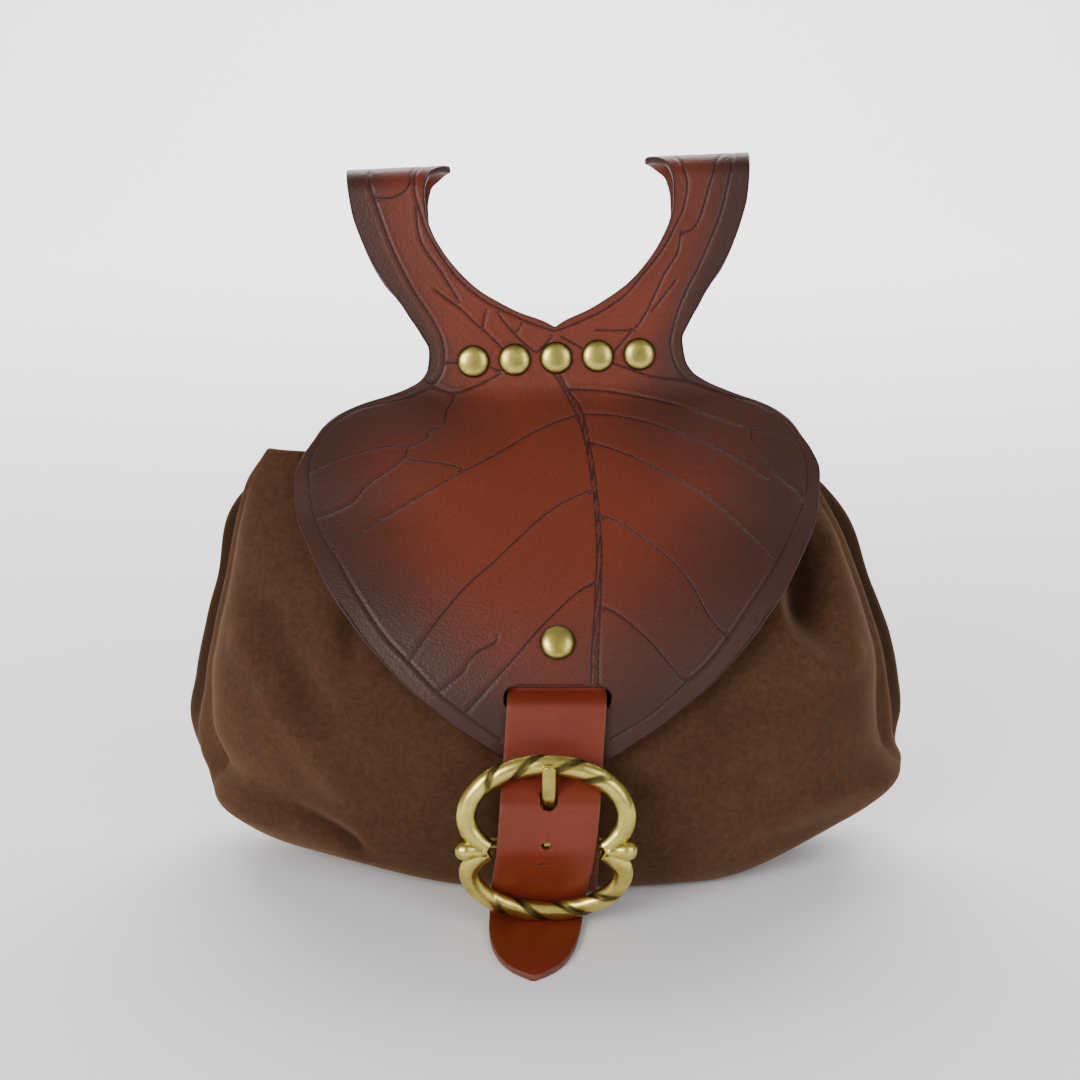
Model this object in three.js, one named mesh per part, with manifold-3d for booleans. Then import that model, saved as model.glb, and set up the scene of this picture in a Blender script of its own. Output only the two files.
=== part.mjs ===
// A small waist bag: a soft suede pouch under a leaf-shaped leather flap, whose two horns roll back into
// belt loops, and which is held shut by a strap and an antique brass double-loop buckle.
// Millimetres. +Z is up, the flap faces -Y, +X is to the right when the flap is looked at.
// The origin is under the middle of the whole object, on the ground.
import * as THREE from "three";
import { mergeVertices } from "three/addons/utils/BufferGeometryUtils.js";
import Module from "manifold-3d";

// ---------------------------------------------------------------- driving dimensions
const LEATHER = 2.2; // thickness of the flap's leather
const SUEDE = 1.8; // wall of the pouch
const STRAP = 2.0; // thickness of the closure strap
const CHAPE = 1.6; // thickness of the short strap that holds the buckle
const GAP = 0.3; // space kept between neighbouring pieces

const ORIGIN = [0, 18.1, 0]; // moves the finished pieces so that the origin is under the middle of the whole
const CENTRE_X = 3.4; // the flap sits this far to the right of the pouch's middle
const NECK = { y: 26, z: 155.5, lean: 13 }; // rivet row: middle of the leather, and its lean backwards
const FLAP_TIP = 142; // from the rivet row to the rounded tip, along the leather
const SHIELD_SAG = 0.0009; // how fast the sides of the shield fall back round the pouch
const LOOP_ROLL = 8; // bend radius of a belt loop
const LOOP_TURN = 195; // degrees the horn turns over
const LOOP_TOP = 58.6; // from the foot of the notch to the top of the roll, along the leather

const RIVET = { cap: 5.2, capHeight: 2.3, post: 1.6, back: 4.4, backHeight: 1.1 };
const RIVET_HOLE = 1.95;
const NECK_RIVET_PITCH = 13.35;
const FLAP_RIVET_AT = 101.3; // from the rivet row, along the flap
const SLOT = { from: 114.5, to: 121, halfWidth: 15.8 };

const STRAP_HALF = 14.8;
const STRAP_HOLES = { first: 5.2, spare: 1.5, pitch: 13.6 };
const PRONG_THROUGH = [-65.2, 43.4]; // where the prong passes the strap: y, z
const BAR = { y: -62, z: 28, radius: 1.8, half: 20.6 }; // centre bar of the buckle
const FRAME = { y: -67.3, z: 28, upperLean: 7.5, lowerLean: 11.4, tube: 2.5 };
// Each loop of the frame is an ellipse round its widest point.
const FRAME_UPPER = { half: 23.5, rise: 10.3, over: 16, under: 12, from: -34 };
const FRAME_LOWER = { half: 22.9, rise: -8, over: 15.2, under: 9, from: -38 };
const FRAME_TWIST = { depth: 0.1, turns: 2.6, plainFrom: 0.66 };
const PRONG = { x: 0.8, halfWidth: 2.1, thickness: 1.8, tip: [-67.9, 55.4] };

// ---------------------------------------------------------------- tables
// Side profile of the flap downwards from the rivet row: length, and lean at its end (degrees from upright).
const FLAP_DOWN = [
  [6, 14],
  [10, 52],
  [44, 52],
  [52, 27],
  [14, 9],
  [30, 2],
];
// The same upwards, to the start of the roll.
const FLAP_UP = [
  [20, 14],
  [35, 16],
];
// Turn of the leather in its own plane by distance from the rivet row: the right horn is a little up.
const TURN = [
  [-200, 2.5],
  [0, 2.5],
  [14, 0.8],
  [40, 0.6],
  [60, 0],
  [150, 0],
];
// Half width of the shield by distance from the rivet row.
const SHIELD_HALF_WIDTH = [
  [-10, 43.6],
  [-4, 40.9],
  [2, 41.6],
  [5.5, 43.6],
  [8.8, 48.4],
  [12, 55.6],
  [15.5, 64],
  [20, 70.9],
  [25, 75],
  [30, 77.4],
  [37, 80.6],
  [45, 82.6],
  [51, 82.2],
  [58, 81.3],
  [63, 80.2],
  [70, 77.4],
  [80, 72.6],
  [88, 68.3],
  [94, 63.9],
  [101, 58.6],
  [107.6, 52.6],
  [115, 45.2],
  [121, 37.6],
  [126, 31.2],
  [131.4, 23],
  [136.2, 15.6],
  [140, 8.4],
  [FLAP_TIP, 3],
];
// Inner and outer edge of a horn by distance from the foot of the notch; the back half mirrors the front.
const HORN_EDGES = [
  [0, 0, 43.6],
  [2, 3.4, 44.8],
  [5, 10.8, 46.7],
  [8, 16.4, 48.4],
  [13, 24, 51.8],
  [20, 30.8, 56.2],
  [26, 35, 59.2],
  [32, 38, 61.5],
  [38, 39.6, 63.3],
  [44, 39.8, 64.2],
  [50, 38.5, 64.8],
  [54, 35, 65],
  [LOOP_TOP, 31.4, 65],
];
// The two ends behind the neck: kept from the middle, and narrower at the outer edge so the neck hides them.
const HORN_BACK = { innerLeast: 5.5, outerLess: 4.5, fade: 18 };

// Pouch by height: half width, front, back, and how much farther the left side reaches.
const POUCH = [
  [0, 80, -38, 18, 0],
  [3, 94, -43.5, 24, 0],
  [8, 102, -46.5, 28, 0],
  [16, 110, -48.5, 31.5, 0],
  [30, 118, -50, 33, 0.8],
  [42, 121, -50.5, 33, 0],
  [55, 119, -49.5, 32, -1],
  [68, 116, -45.5, 30, -0.8],
  [78, 112.5, -40.5, 28.4, 0.5],
  [90, 108, -32, 26.2, 2],
  [101, 103.5, -23, 24.4, 4],
  [110, 99.5, -14.5, 23.2, 5.5],
  [120, 94.5, -3, 22.6, 6.5],
  [128, 90, 5, 23, 5.5],
  [133, 87.5, 9, 24.1, 5],
  [147, 84, 9, 27.3, 4],
  [158, 84, 9, 29.9, 4],
];
const POUCH_ROWS = [0, 3, 8, 14, 20, 27, 34, 42, 51, 61, 72, 83, 94, 104, 113, 122, 130];
// Columns of the pouch by angle, from a side to the middle of the front and to the middle of the back.
const FRONT_ANGLES = [
  0, 0.07, 0.14, 0.21, 0.28, 0.36, 0.44, 0.52, 0.6, 0.68, 0.76, 0.84, 0.93, 1.03, 1.15, 1.32,
];
const BACK_ANGLES = [0, 0.07, 0.14, 0.22, 0.32, 0.48, 0.72, 1.1];
// How round the pouch is seen from above: power of the curve, and where its widest point lies.
const ROUND = { power: 2.4, squarerBack: 1.8, middle: 4, middleMost: 16 };
// The back panel rises behind the neck, and the rim drops to both ends.
const MOUTH = { rise: 28, flatHalf: 32, fadeHalf: 56, leftDrop: 8, rightDrop: 7.5 };
// The two ends are lifted off the ground: height, start and length of the lift, and the height it fades over.
const LIFT_LEFT = { height: 7, from: 18, over: 60 };
const LIFT_RIGHT = { height: 9, from: 50, over: 45 };
const LIFT_FADE = 34;
// Side pleat by height: how far the front panel stays inside the back one (left, right), and how deep
// the valley between them is (left, right).
const PLEAT = [
  [0, 0, 0, 0, 0],
  [12, 0.5, 0, 1, 0],
  [18, 3, 0, 2, 0],
  [24, 9, 0.5, 4, 0],
  [29, 15, 2, 5, 1],
  [33, 17, 7, 6, 4],
  [38, 16, 12, 7, 7],
  [45, 13.5, 14, 8, 8],
  [55, 11, 13, 8, 8],
  [67, 9.5, 11, 8, 8],
  [83, 9.5, 10, 7, 7],
  [96, 9, 9.5, 4.6, 4.6],
  [111, 7.5, 8, 2, 2],
  [122, 5, 7, 1.2, 1.2],
  [130, 4, 6, 1, 1],
];
// Width of that valley at the top and how it grows downwards, and how far behind the widest point it lies.
const VALLEY = { topWidth: 4.4, perHeight: 0.014, behindMiddle: 3.5, topForward: 2.5 };
// Soft folds of the front panel: width across, height (a valley is negative), and a line of (x, z).
const FOLDS = [
  { width: 6, height: 2.2, line: [[-96, 79], [-89, 72], [-79, 59], [-70, 46], [-63.5, 38]] },
  { width: 7, height: -2.4, line: [[-88, 87], [-80, 73], [-70, 58]] },
  { width: 5, height: -2.4, line: [[-108, 38], [-98.5, 31], [-79, 26.5], [-64, 20], [-58, 13]] },
  { width: 9, height: -5, line: [[84, 101], [82.5, 86]] },
  { width: 5.5, height: 2.4, line: [[71, 91], [77.1, 81.4], [85.7, 74.3], [93.6, 72], [100, 74]] },
  { width: 8, height: -1.8, line: [[66, 14], [84, 18], [102, 27]] },
];

// Closure strap: along the flap (distance, offset in front of it), then free points (y, z), with bend radii.
const STRAP_ON_FLAP = [
  [93, -2.5, 0],
  [100, -2.5, 20],
  [107.5, -2.5, 20],
  [115.8, -2.65, 1.5],
  [119.8, 2.5, 1.8],
  [133, 2.6, 20],
];
const STRAP_FREE = [
  [-57.7, 49.6, 3],
  [-67.5, 41.4, 4.5],
  [-67.5, 28, 10],
  [-58, 6.5, 5],
  [-56.2, 1.1, 2.4],
  [-93.4, 1.1, 0],
];
// Sideways drift and half width of the strap by height of length still to go to the tip.
const STRAP_PLAN = [
  [0, -3.6, 1],
  [1.4, -3.6, 3],
  [5, -3.7, 6.9],
  [11, -3.7, 10.4],
  [20, -3.6, 12.9],
  [30, -3.2, 14],
  [44, -2.4, 14.5],
  [58, -0.8, 14.6],
  [72, 0.6, 14.7],
  [86, 1.6, 14.8],
  [100, 2.5, STRAP_HALF],
  [112, 3.2, STRAP_HALF],
  [140, 3.4, STRAP_HALF],
];

const LOOP_SEGMENTS = 26;
const TUBE_SEGMENTS = 8;

// ---------------------------------------------------------------- small helpers
const wasm = await Module();
wasm.setup();
const rad = THREE.MathUtils.degToRad;
const smooth = (x) => THREE.MathUtils.smoothstep(x, 0, 1);

// Piecewise straight reading of a table whose first column rises.
function read(table, at, column) {
  let i = 1;
  while (i < table.length - 1 && table[i][0] < at) i += 1;
  const [a, b] = [table[i - 1], table[i]];
  const t = THREE.MathUtils.clamp((at - a[0]) / (b[0] - a[0]), 0, 1);
  return a[column] + t * (b[column] - a[column]);
}

// A polyline of [y, z] read by its length.
class Path {
  constructor(points) {
    this.points = points;
    this.lengths = [0];
    for (let i = 1; i < points.length; i += 1) {
      const step = Math.hypot(points[i][0] - points[i - 1][0], points[i][1] - points[i - 1][1]);
      this.lengths.push(this.lengths[i - 1] + step);
    }
    this.total = this.lengths[this.lengths.length - 1];
  }
  at(length) {
    let i = 1;
    while (i < this.points.length - 1 && this.lengths[i] < length) i += 1;
    const [a, b] = [this.points[i - 1], this.points[i]];
    const t = (length - this.lengths[i - 1]) / (this.lengths[i] - this.lengths[i - 1]);
    return [a[0] + t * (b[0] - a[0]), a[1] + t * (b[1] - a[1])];
  }
}

// A chain of arcs in the side view: lean changes evenly along each row; sign -1 runs down and forwards.
function chain(start, lean, rows, sign) {
  const points = [start];
  let [y, z] = start;
  let angle = lean;
  for (const [length, end] of rows) {
    const steps = Math.max(4, Math.ceil(length));
    for (let i = 0; i < steps; i += 1) {
      const here = rad(angle + ((end - angle) * (i + 0.5)) / steps);
      y += (sign * Math.sin(here) * length) / steps;
      z += (sign * Math.cos(here) * length) / steps;
      points.push([y, z]);
    }
    angle = end;
  }
  return points;
}

// A polyline of [y, z, radius] with each inner corner rounded.
function rounded(corners, steps = 4) {
  const out = [];
  corners.forEach(([y, z, radius], i) => {
    if (i === 0 || i === corners.length - 1 || radius === 0) {
      out.push([y, z]);
      return;
    }
    const here = new THREE.Vector2(y, z);
    const back = new THREE.Vector2(...corners[i - 1].slice(0, 2)).sub(here);
    const on = new THREE.Vector2(...corners[i + 1].slice(0, 2)).sub(here);
    const half = Math.acos(THREE.MathUtils.clamp(back.dot(on) / back.length() / on.length(), -1, 1)) / 2;
    const room = 0.49 * Math.min(back.length(), on.length());
    const cut = Math.min(radius / Math.tan(half), room);
    const a = here.clone().add(back.setLength(cut));
    const b = here.clone().add(on.setLength(cut));
    for (let k = 0; k <= steps; k += 1) {
      const t = k / steps;
      const p = a.clone().multiplyScalar((1 - t) ** 2);
      p.addScaledVector(here, 2 * t * (1 - t)).addScaledVector(b, t * t);
      out.push([p.x, p.y]);
    }
  });
  return out;
}

// Merges equal vertices and drops faces that collapsed.
function tidy(geometry) {
  const merged = mergeVertices(geometry, 1e-3);
  const index = merged.index.array;
  const kept = [];
  for (let i = 0; i < index.length; i += 3) {
    const [a, b, c] = [index[i], index[i + 1], index[i + 2]];
    if (a !== b && b !== c && c !== a) kept.push(a, b, c);
  }
  merged.setIndex(kept);
  return merged;
}

// Gives an open surface (points, triangles) two skins, at the offsets front and back along its normals.
function thicken(points, faces, front, back) {
  const normals = points.map(() => new THREE.Vector3());
  const edges = new Map();
  for (const face of faces) {
    const [a, b, c] = face.map((i) => points[i]);
    const cross = b.clone().sub(a).cross(c.clone().sub(a));
    face.forEach((v) => normals[v].add(cross));
    for (let k = 0; k < 3; k += 1) {
      const [from, to] = [face[k], face[(k + 1) % 3]];
      if (!edges.delete(`${to} ${from}`)) edges.set(`${from} ${to}`, [from, to]);
    }
  }
  normals.forEach((n) => n.normalize());
  const skin = (offset) => points.map((p, i) => p.clone().addScaledVector(normals[i], offset));
  const count = points.length;
  const index = [];
  for (const [a, b, c] of faces) index.push(a, b, c, count + a, count + c, count + b);
  for (const [from, to] of edges.values()) {
    index.push(from, count + from, to, to, count + from, count + to);
  }
  const geometry = new THREE.BufferGeometry().setFromPoints([...skin(front), ...skin(back)]);
  geometry.setIndex(index);
  return geometry;
}

// Triangles of a grid whose rows are lists of vertex numbers, all of one length.
function gridFaces(rows, closed = false) {
  const faces = [];
  for (let i = 0; i + 1 < rows.length; i += 1) {
    const width = rows[i].length;
    for (let j = 0; j < (closed ? width : width - 1); j += 1) {
      const k = (j + 1) % width;
      const [a, b, c, d] = [rows[i][j], rows[i][k], rows[i + 1][k], rows[i + 1][j]];
      faces.push([a, b, c], [a, c, d]);
    }
  }
  return faces;
}

const toSolid = (geometry) => {
  const bare = new THREE.BufferGeometry().setAttribute("position", geometry.getAttribute("position"));
  const g = tidy(bare.setIndex(geometry.index));
  const triVerts = new Uint32Array(g.index.array);
  const vertProperties = g.attributes.position.array;
  return new wasm.Manifold(new wasm.Mesh({ numProp: 3, vertProperties, triVerts }));
};
const toGeometry = (solid) => {
  const mesh = solid.getMesh();
  const geometry = new THREE.BufferGeometry();
  geometry.setAttribute("position", new THREE.BufferAttribute(mesh.vertProperties, 3));
  geometry.setIndex(new THREE.BufferAttribute(mesh.triVerts, 1));
  return geometry;
};

// A round or oblong punch along a direction, as a solid to cut with.
function punch(centre, direction, radius, reach, spread = new THREE.Vector3()) {
  const axis = new THREE.Vector3(0, 1, 0);
  const turn = new THREE.Quaternion().setFromUnitVectors(axis, direction.clone().normalize());
  const ends = [-1, 1].map((side) => {
    const g = new THREE.CylinderGeometry(radius, radius, 2 * reach, 12, 1);
    g.applyQuaternion(turn);
    g.translate(...centre.clone().addScaledVector(spread, side));
    return toSolid(g);
  });
  return spread.length() > 0 ? wasm.Manifold.hull(ends) : ends[0];
}

// ---------------------------------------------------------------- the flap's surface
const downPath = new Path(chain([NECK.y, NECK.z], NECK.lean, FLAP_DOWN, -1));
const neckBack = (s, offset) => {
  const lean = rad(NECK.lean);
  const y = NECK.y - s * Math.sin(lean) + offset * Math.cos(lean);
  return [y, NECK.z - s * Math.cos(lean) - offset * Math.sin(lean)];
};
const LOOP_OFFSET = LEATHER + SUEDE + 2 * GAP + 0.15; // loop end behind the neck, middle to middle

function hornPath() {
  const points = chain([NECK.y, NECK.z], NECK.lean, FLAP_UP, 1);
  const start = FLAP_UP[FLAP_UP.length - 1][1];
  const roll = chain(points.pop(), start, [[LOOP_ROLL * rad(LOOP_TURN), start + LOOP_TURN]], 1);
  const end = roll.pop();
  const tail = rounded([[...end, 0], [...neckBack(-14, LOOP_OFFSET), 22], [...neckBack(8, LOOP_OFFSET), 0]]);
  return new Path([...points, ...roll, ...tail]);
}
const upPath = hornPath();

// A point of the flap's middle surface: u across, s down from the rivet row (negative on the horns).
function flapPoint(u, s) {
  const [y0, z0] = s >= 0 ? downPath.at(s) : upPath.at(-s);
  const sag = SHIELD_SAG * smooth((s - 10) / 40) * u * u;
  const turn = rad(read(TURN, s, 1));
  const lean = rad(NECK.lean);
  const [dy, dz] = [y0 + sag - NECK.y, z0 - NECK.z];
  const along = dy * Math.sin(lean) + dz * Math.cos(lean);
  const out = dy * Math.cos(lean) - dz * Math.sin(lean);
  const x = u * Math.cos(turn) - along * Math.sin(turn);
  const up = along * Math.cos(turn) + u * Math.sin(turn);
  return new THREE.Vector3(
    CENTRE_X + x,
    NECK.y + up * Math.sin(lean) + out * Math.cos(lean),
    NECK.z + up * Math.cos(lean) - out * Math.sin(lean),
  );
}
// Outward (front) normal of that surface.
function flapNormal(u, s) {
  const across = flapPoint(u + 0.5, s).sub(flapPoint(u - 0.5, s));
  const down = flapPoint(u, s + 0.5).sub(flapPoint(u, s - 0.5));
  return down.cross(across).normalize();
}

const NOTCH = -10; // the horns part here
const SHIELD_ROWS = [
  142, 140, 136.2, 131.4, 126, 121, 115, 108, 101, 94, 87, 80, 73, 66, 59, 52, 45, 38, 31, 25, 20, 15.5, 12, 8.8,
  5.5, 2, -4, -10,
];
const HORN_ROWS = [
  2, 5, 8, 13, 20, 26, 32, 38, 44, 47.4, 50.8, 54.2, 57.6, 61, 64.4, 67.8, 71.2, 77, 83, 89, 95, 102, 107, 110, 113,
  119, 126,
];
const HALF_COLUMNS = 5;

function hornEdges(q) {
  if (q <= LOOP_TOP) return [read(HORN_EDGES, q, 1), read(HORN_EDGES, q, 2)];
  const mirrored = Math.max(0, 2 * LOOP_TOP - q);
  const inner = Math.max(read(HORN_EDGES, mirrored, 1), HORN_BACK.innerLeast);
  const less = HORN_BACK.outerLess * (1 - smooth(mirrored / HORN_BACK.fade));
  return [inner, read(HORN_EDGES, mirrored, 2) - less];
}

function makeFlap() {
  const points = [];
  const add = (u, s) => points.push(flapPoint(u, s)) - 1;
  const shield = SHIELD_ROWS.map((s) => {
    const half = read(SHIELD_HALF_WIDTH, s, 1);
    const row = [];
    for (let j = -HALF_COLUMNS; j <= HALF_COLUMNS; j += 1) row.push(add((half * j) / HALF_COLUMNS, s));
    return row;
  });
  const faces = gridFaces(shield);
  const notch = shield[shield.length - 1];
  const lastRow = upPath.total + NOTCH;
  for (const side of [-1, 1]) {
    const rows = [side < 0 ? notch.slice(0, HALF_COLUMNS + 1) : notch.slice(HALF_COLUMNS)];
    for (const q of [...HORN_ROWS, lastRow]) {
      const [inner, outer] = hornEdges(q);
      const row = [];
      for (let j = 0; j <= HALF_COLUMNS; j += 1) {
        const t = side < 0 ? 1 - j / HALF_COLUMNS : j / HALF_COLUMNS;
        row.push(add(side * (inner + t * (outer - inner)), NOTCH - q));
      }
      rows.push(row);
    }
    faces.push(...gridFaces(rows));
  }
  let solid = toSolid(thicken(points, faces, LEATHER / 2, -LEATHER / 2));
  for (const { u, s, reach } of rivetSites()) {
    solid = solid.subtract(punch(flapPoint(u, s), flapNormal(u, s), RIVET_HOLE, reach));
  }
  const slotAt = (SLOT.from + SLOT.to) / 2;
  const slotRound = (SLOT.to - SLOT.from) / 2;
  const spread = new THREE.Vector3(SLOT.halfWidth - slotRound, 0, 0);
  return solid.subtract(punch(flapPoint(0, slotAt), flapNormal(0, slotAt), slotRound, 4, spread));
}

// Where the rivets sit on the flap, and how far behind its middle the last layer ends.
function rivetSites() {
  const sites = [-2, -1, 0, 1, 2].map((i) => {
    const behind = i === 0 ? LEATHER / 2 + GAP + SUEDE + 0.2 : LOOP_OFFSET + LEATHER / 2;
    return { name: `rivet_neck_${i + 3}`, u: i * NECK_RIVET_PITCH, s: 0, reach: 8, behind };
  });
  const behind = 2.5 + STRAP / 2;
  return [...sites, { name: "rivet_flap", u: 0, s: FLAP_RIVET_AT, reach: 3, behind }];
}

// ---------------------------------------------------------------- rivets
function makeRivet({ u, s, behind }) {
  const front = LEATHER / 2 + GAP;
  const back = -(behind + GAP);
  const dome = [
    [RIVET.post, front],
    [RIVET.cap - 0.5, front],
    [RIVET.cap, front + 0.35],
    [RIVET.cap - 0.35, front + 1.05],
    [RIVET.cap * 0.68, front + 1.85],
    [RIVET.cap * 0.35, front + 2.2],
    [0, front + RIVET.capHeight],
  ];
  const foot = [
    [0, back - RIVET.backHeight],
    [RIVET.back - 0.5, back - RIVET.backHeight],
    [RIVET.back, back - RIVET.backHeight + 0.4],
    [RIVET.back, back],
    [RIVET.post, back],
  ];
  const profile = [...foot, ...dome].map(([r, h]) => new THREE.Vector2(r, h));
  const g = new THREE.LatheGeometry(profile, 12);
  g.applyQuaternion(new THREE.Quaternion().setFromUnitVectors(new THREE.Vector3(0, 1, 0), flapNormal(u, s)));
  g.translate(...flapPoint(u, s));
  return toSolid(g);
}

// ---------------------------------------------------------------- pouch
const POUCH_TOP = POUCH_ROWS[POUCH_ROWS.length - 1];
// The front panel before its folds: the point at this x and height.
function frontOfPouch(x, z) {
  const [front, back] = [read(POUCH, z, 2), read(POUCH, z, 3)];
  const middle = Math.min((front + back) / 2 + ROUND.middle, ROUND.middleMost);
  const share = Math.min(Math.abs(x) / (read(POUCH, z, 1) - 1), 1);
  return new THREE.Vector3(x, middle - (middle - front) * (1 - share ** ROUND.power) ** (1 / ROUND.power), z);
}
const foldLines = FOLDS.map(({ width, height, line }) => ({
  width,
  height,
  parts: line.slice(1).map((end, i) => new THREE.Line3(frontOfPouch(...line[i]), frontOfPouch(...end))),
}));

function foldHeight(point) {
  let sum = 0;
  const close = new THREE.Vector3();
  for (const { width, height, parts } of foldLines) {
    const distances = parts.map((part) => part.closestPointToPoint(point, true, close).distanceTo(point));
    const away = Math.min(...distances);
    sum += height * Math.exp(-((away / width) ** 2));
  }
  return sum;
}

// The flap's lean by distance from the rivet row, as the suede under it needs it.
const LEAN_AT = [
  [0, 14],
  [16, 52],
  [60, 52],
  [FLAP_TIP, 20],
];
// The suede stays behind the flap: the least y at this x and height.
function behindFlap(x, z) {
  let [high, low] = [10, FLAP_TIP];
  if (z > downPath.at(high)[1] || z < downPath.at(low)[1]) return -Infinity;
  for (let i = 0; i < 24; i += 1) {
    const s = (high + low) / 2;
    if (downPath.at(s)[1] > z) high = s;
    else low = s;
  }
  const u = x - CENTRE_X;
  const beyond = Math.abs(u) - read(SHIELD_HALF_WIDTH, high, 1);
  const clear = (LEATHER / 2 + GAP + 0.6) / Math.cos(rad(read(LEAN_AT, high, 1)));
  return flapPoint(u, high).y + clear - Math.max(0, beyond - 3) * 1.5;
}

// How far the ends of the pouch are lifted off the ground at this x.
function liftOfEnds(x) {
  const left = LIFT_LEFT.height * smooth((-LIFT_LEFT.from - x) / LIFT_LEFT.over);
  return left + LIFT_RIGHT.height * smooth((x - LIFT_RIGHT.from) / LIFT_RIGHT.over);
}

// The pouch without its folds; the angle runs round it from +X over the back.
function pouchBase(angle, row) {
  const isBack = Math.sin(angle) > 0;
  const isLeft = Math.cos(angle) < 0;
  const halfWidth = read(POUCH, row, 1) + (isLeft ? read(POUCH, row, 4) : 0);
  const top = smooth((row - 84) / 44);
  const power = 2 / (ROUND.power + (isBack ? ROUND.squarerBack * top : 0));
  const across = Math.sign(Math.cos(angle)) * Math.abs(Math.cos(angle)) ** power;
  // the back panel rises behind the neck
  const fromNeck = Math.abs(across * halfWidth - CENTRE_X) - MOUTH.flatHalf;
  const neck = 1 - smooth(fromNeck / (MOUTH.fadeHalf - MOUTH.flatHalf));
  const rise = isBack ? MOUTH.rise * neck * smooth((row - 92) / 38) : 0;
  const [front, back] = [read(POUCH, row, 2), read(POUCH, row + rise, 3)];
  const middle = Math.min((front + back) / 2 + ROUND.middle, ROUND.middleMost);
  const reach = isBack ? back - middle : middle - front;
  const y = middle + Math.sign(Math.sin(angle)) * reach * Math.abs(Math.sin(angle)) ** power;
  // the front panel stays inside the back one, with a valley between them
  const width = VALLEY.topWidth + VALLEY.perHeight * (POUCH_TOP - row);
  const behind = (y - middle - VALLEY.behindMiddle + VALLEY.topForward * top) / width;
  const inset = read(PLEAT, row, isLeft ? 1 : 2) * (1 - smooth((behind + 2) / 2));
  const valley = read(PLEAT, row, isLeft ? 3 : 4) * Math.exp(-(behind ** 2));
  const x = across * (halfWidth - inset - valley);
  // the ends are lifted, and the rim drops towards them
  const lifted = liftOfEnds(x) * (1 - smooth(row / LIFT_FADE));
  const leftDrop = MOUTH.leftDrop * smooth((-48 - x) / 26) * (0.25 + 0.75 * smooth((behind + 1) / 1.2));
  const drop = (leftDrop + MOUTH.rightDrop * smooth((x - 56) / 28)) * smooth((row - 96) / 34);
  return new THREE.Vector3(x, y, row + lifted + rise - drop);
}

function pouchPoint(angle, row) {
  const base = pouchBase(angle, row);
  if (Math.sin(angle) > 0.1 || row < 6) return base; // the back and the base stay smooth
  const along = pouchBase(angle + 0.02, row).sub(pouchBase(angle - 0.02, row));
  const out = new THREE.Vector3(along.y, -along.x, 0).normalize();
  base.addScaledVector(out, foldHeight(base) * smooth((row - 4) / 12));
  base.y = Math.max(base.y, behindFlap(base.x, base.z));
  return base;
}

function makePouch() {
  const points = [];
  const angles = [
    ...FRONT_ANGLES.map((a) => a - Math.PI),
    -Math.PI / 2,
    ...FRONT_ANGLES.slice(1).map((a) => -a).reverse(),
    ...BACK_ANGLES,
    Math.PI / 2,
    ...BACK_ANGLES.slice(1).map((a) => Math.PI - a).reverse(),
  ];
  const rows = POUCH_ROWS.map((row) => angles.map((angle) => points.push(pouchPoint(angle, row)) - 1));
  const faces = gridFaces(rows, true);
  const inner = rows[0].map((v) => {
    const shrunk = points[v].clone().multiplyScalar(0.6);
    return points.push(new THREE.Vector3(shrunk.x, shrunk.y - 3.6, shrunk.z * 0.5)) - 1;
  });
  faces.push(...gridFaces([inner, rows[0]], true));
  const centre = points.push(new THREE.Vector3(0, -9, 0)) - 1;
  inner.forEach((v, j) => faces.push([centre, inner[(j + 1) % inner.length], v]));
  let solid = toSolid(thicken(points, faces, 0, -SUEDE));
  for (const { u, s, reach } of rivetSites().filter(({ name }) => name !== "rivet_flap")) {
    solid = solid.subtract(punch(flapPoint(u, s), flapNormal(u, s), RIVET_HOLE, reach));
  }
  return solid;
}

// ---------------------------------------------------------------- straps
// A ribbon along a side-view path; plan(length) gives [middle x, half width].
function ribbon(path, plan, thickness, columns, longest) {
  const stops = [];
  path.lengths.forEach((length, i) => {
    if (i === 0) {
      stops.push(0);
      return;
    }
    const before = path.lengths[i - 1];
    const parts = Math.ceil((length - before) / longest);
    for (let k = 1; k <= parts; k += 1) stops.push(before + ((length - before) * k) / parts);
  });
  const points = [];
  const rows = stops.map((length) => {
    const [y, z] = path.at(length);
    const [middle, half] = plan(length);
    const row = [];
    for (let j = 0; j <= columns; j += 1) {
      row.push(points.push(new THREE.Vector3(middle + half * ((2 * j) / columns - 1), y, z)) - 1);
    }
    return row;
  });
  return toSolid(thicken(points, gridFaces(rows.reverse()), thickness / 2, -thickness / 2));
}

const onFlap = ([s, offset, radius]) => {
  const p = flapPoint(0, s).addScaledVector(flapNormal(0, s), offset);
  return [p.y, p.z, radius];
};
const strapPath = new Path(rounded([...STRAP_ON_FLAP.map(onFlap), ...STRAP_FREE]));

function makeStrap() {
  const plan = (length) => {
    const left = strapPath.total - length;
    return [read(STRAP_PLAN, left, 1), read(STRAP_PLAN, left, 2)];
  };
  let solid = ribbon(strapPath, plan, STRAP, 2, 8);
  const site = rivetSites()[5];
  solid = solid.subtract(punch(flapPoint(0, site.s), flapNormal(0, site.s), RIVET_HOLE, 6));
  const hole = new THREE.Vector3(PRONG.x, ...PRONG_THROUGH);
  const along = new THREE.Vector3(0, 0.75, 0.66);
  const through = new THREE.Vector3(0, -0.66, 0.75);
  solid = solid.subtract(punch(hole, through, STRAP_HOLES.first / 2, 3, along.multiplyScalar(1.1)));
  const spare = new THREE.Vector3(PRONG.x - 0.7, -67.3, PRONG_THROUGH[1] - STRAP_HOLES.pitch);
  return solid.subtract(punch(spare, new THREE.Vector3(0, 1, 0), STRAP_HOLES.spare, 1.6));
}

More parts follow.
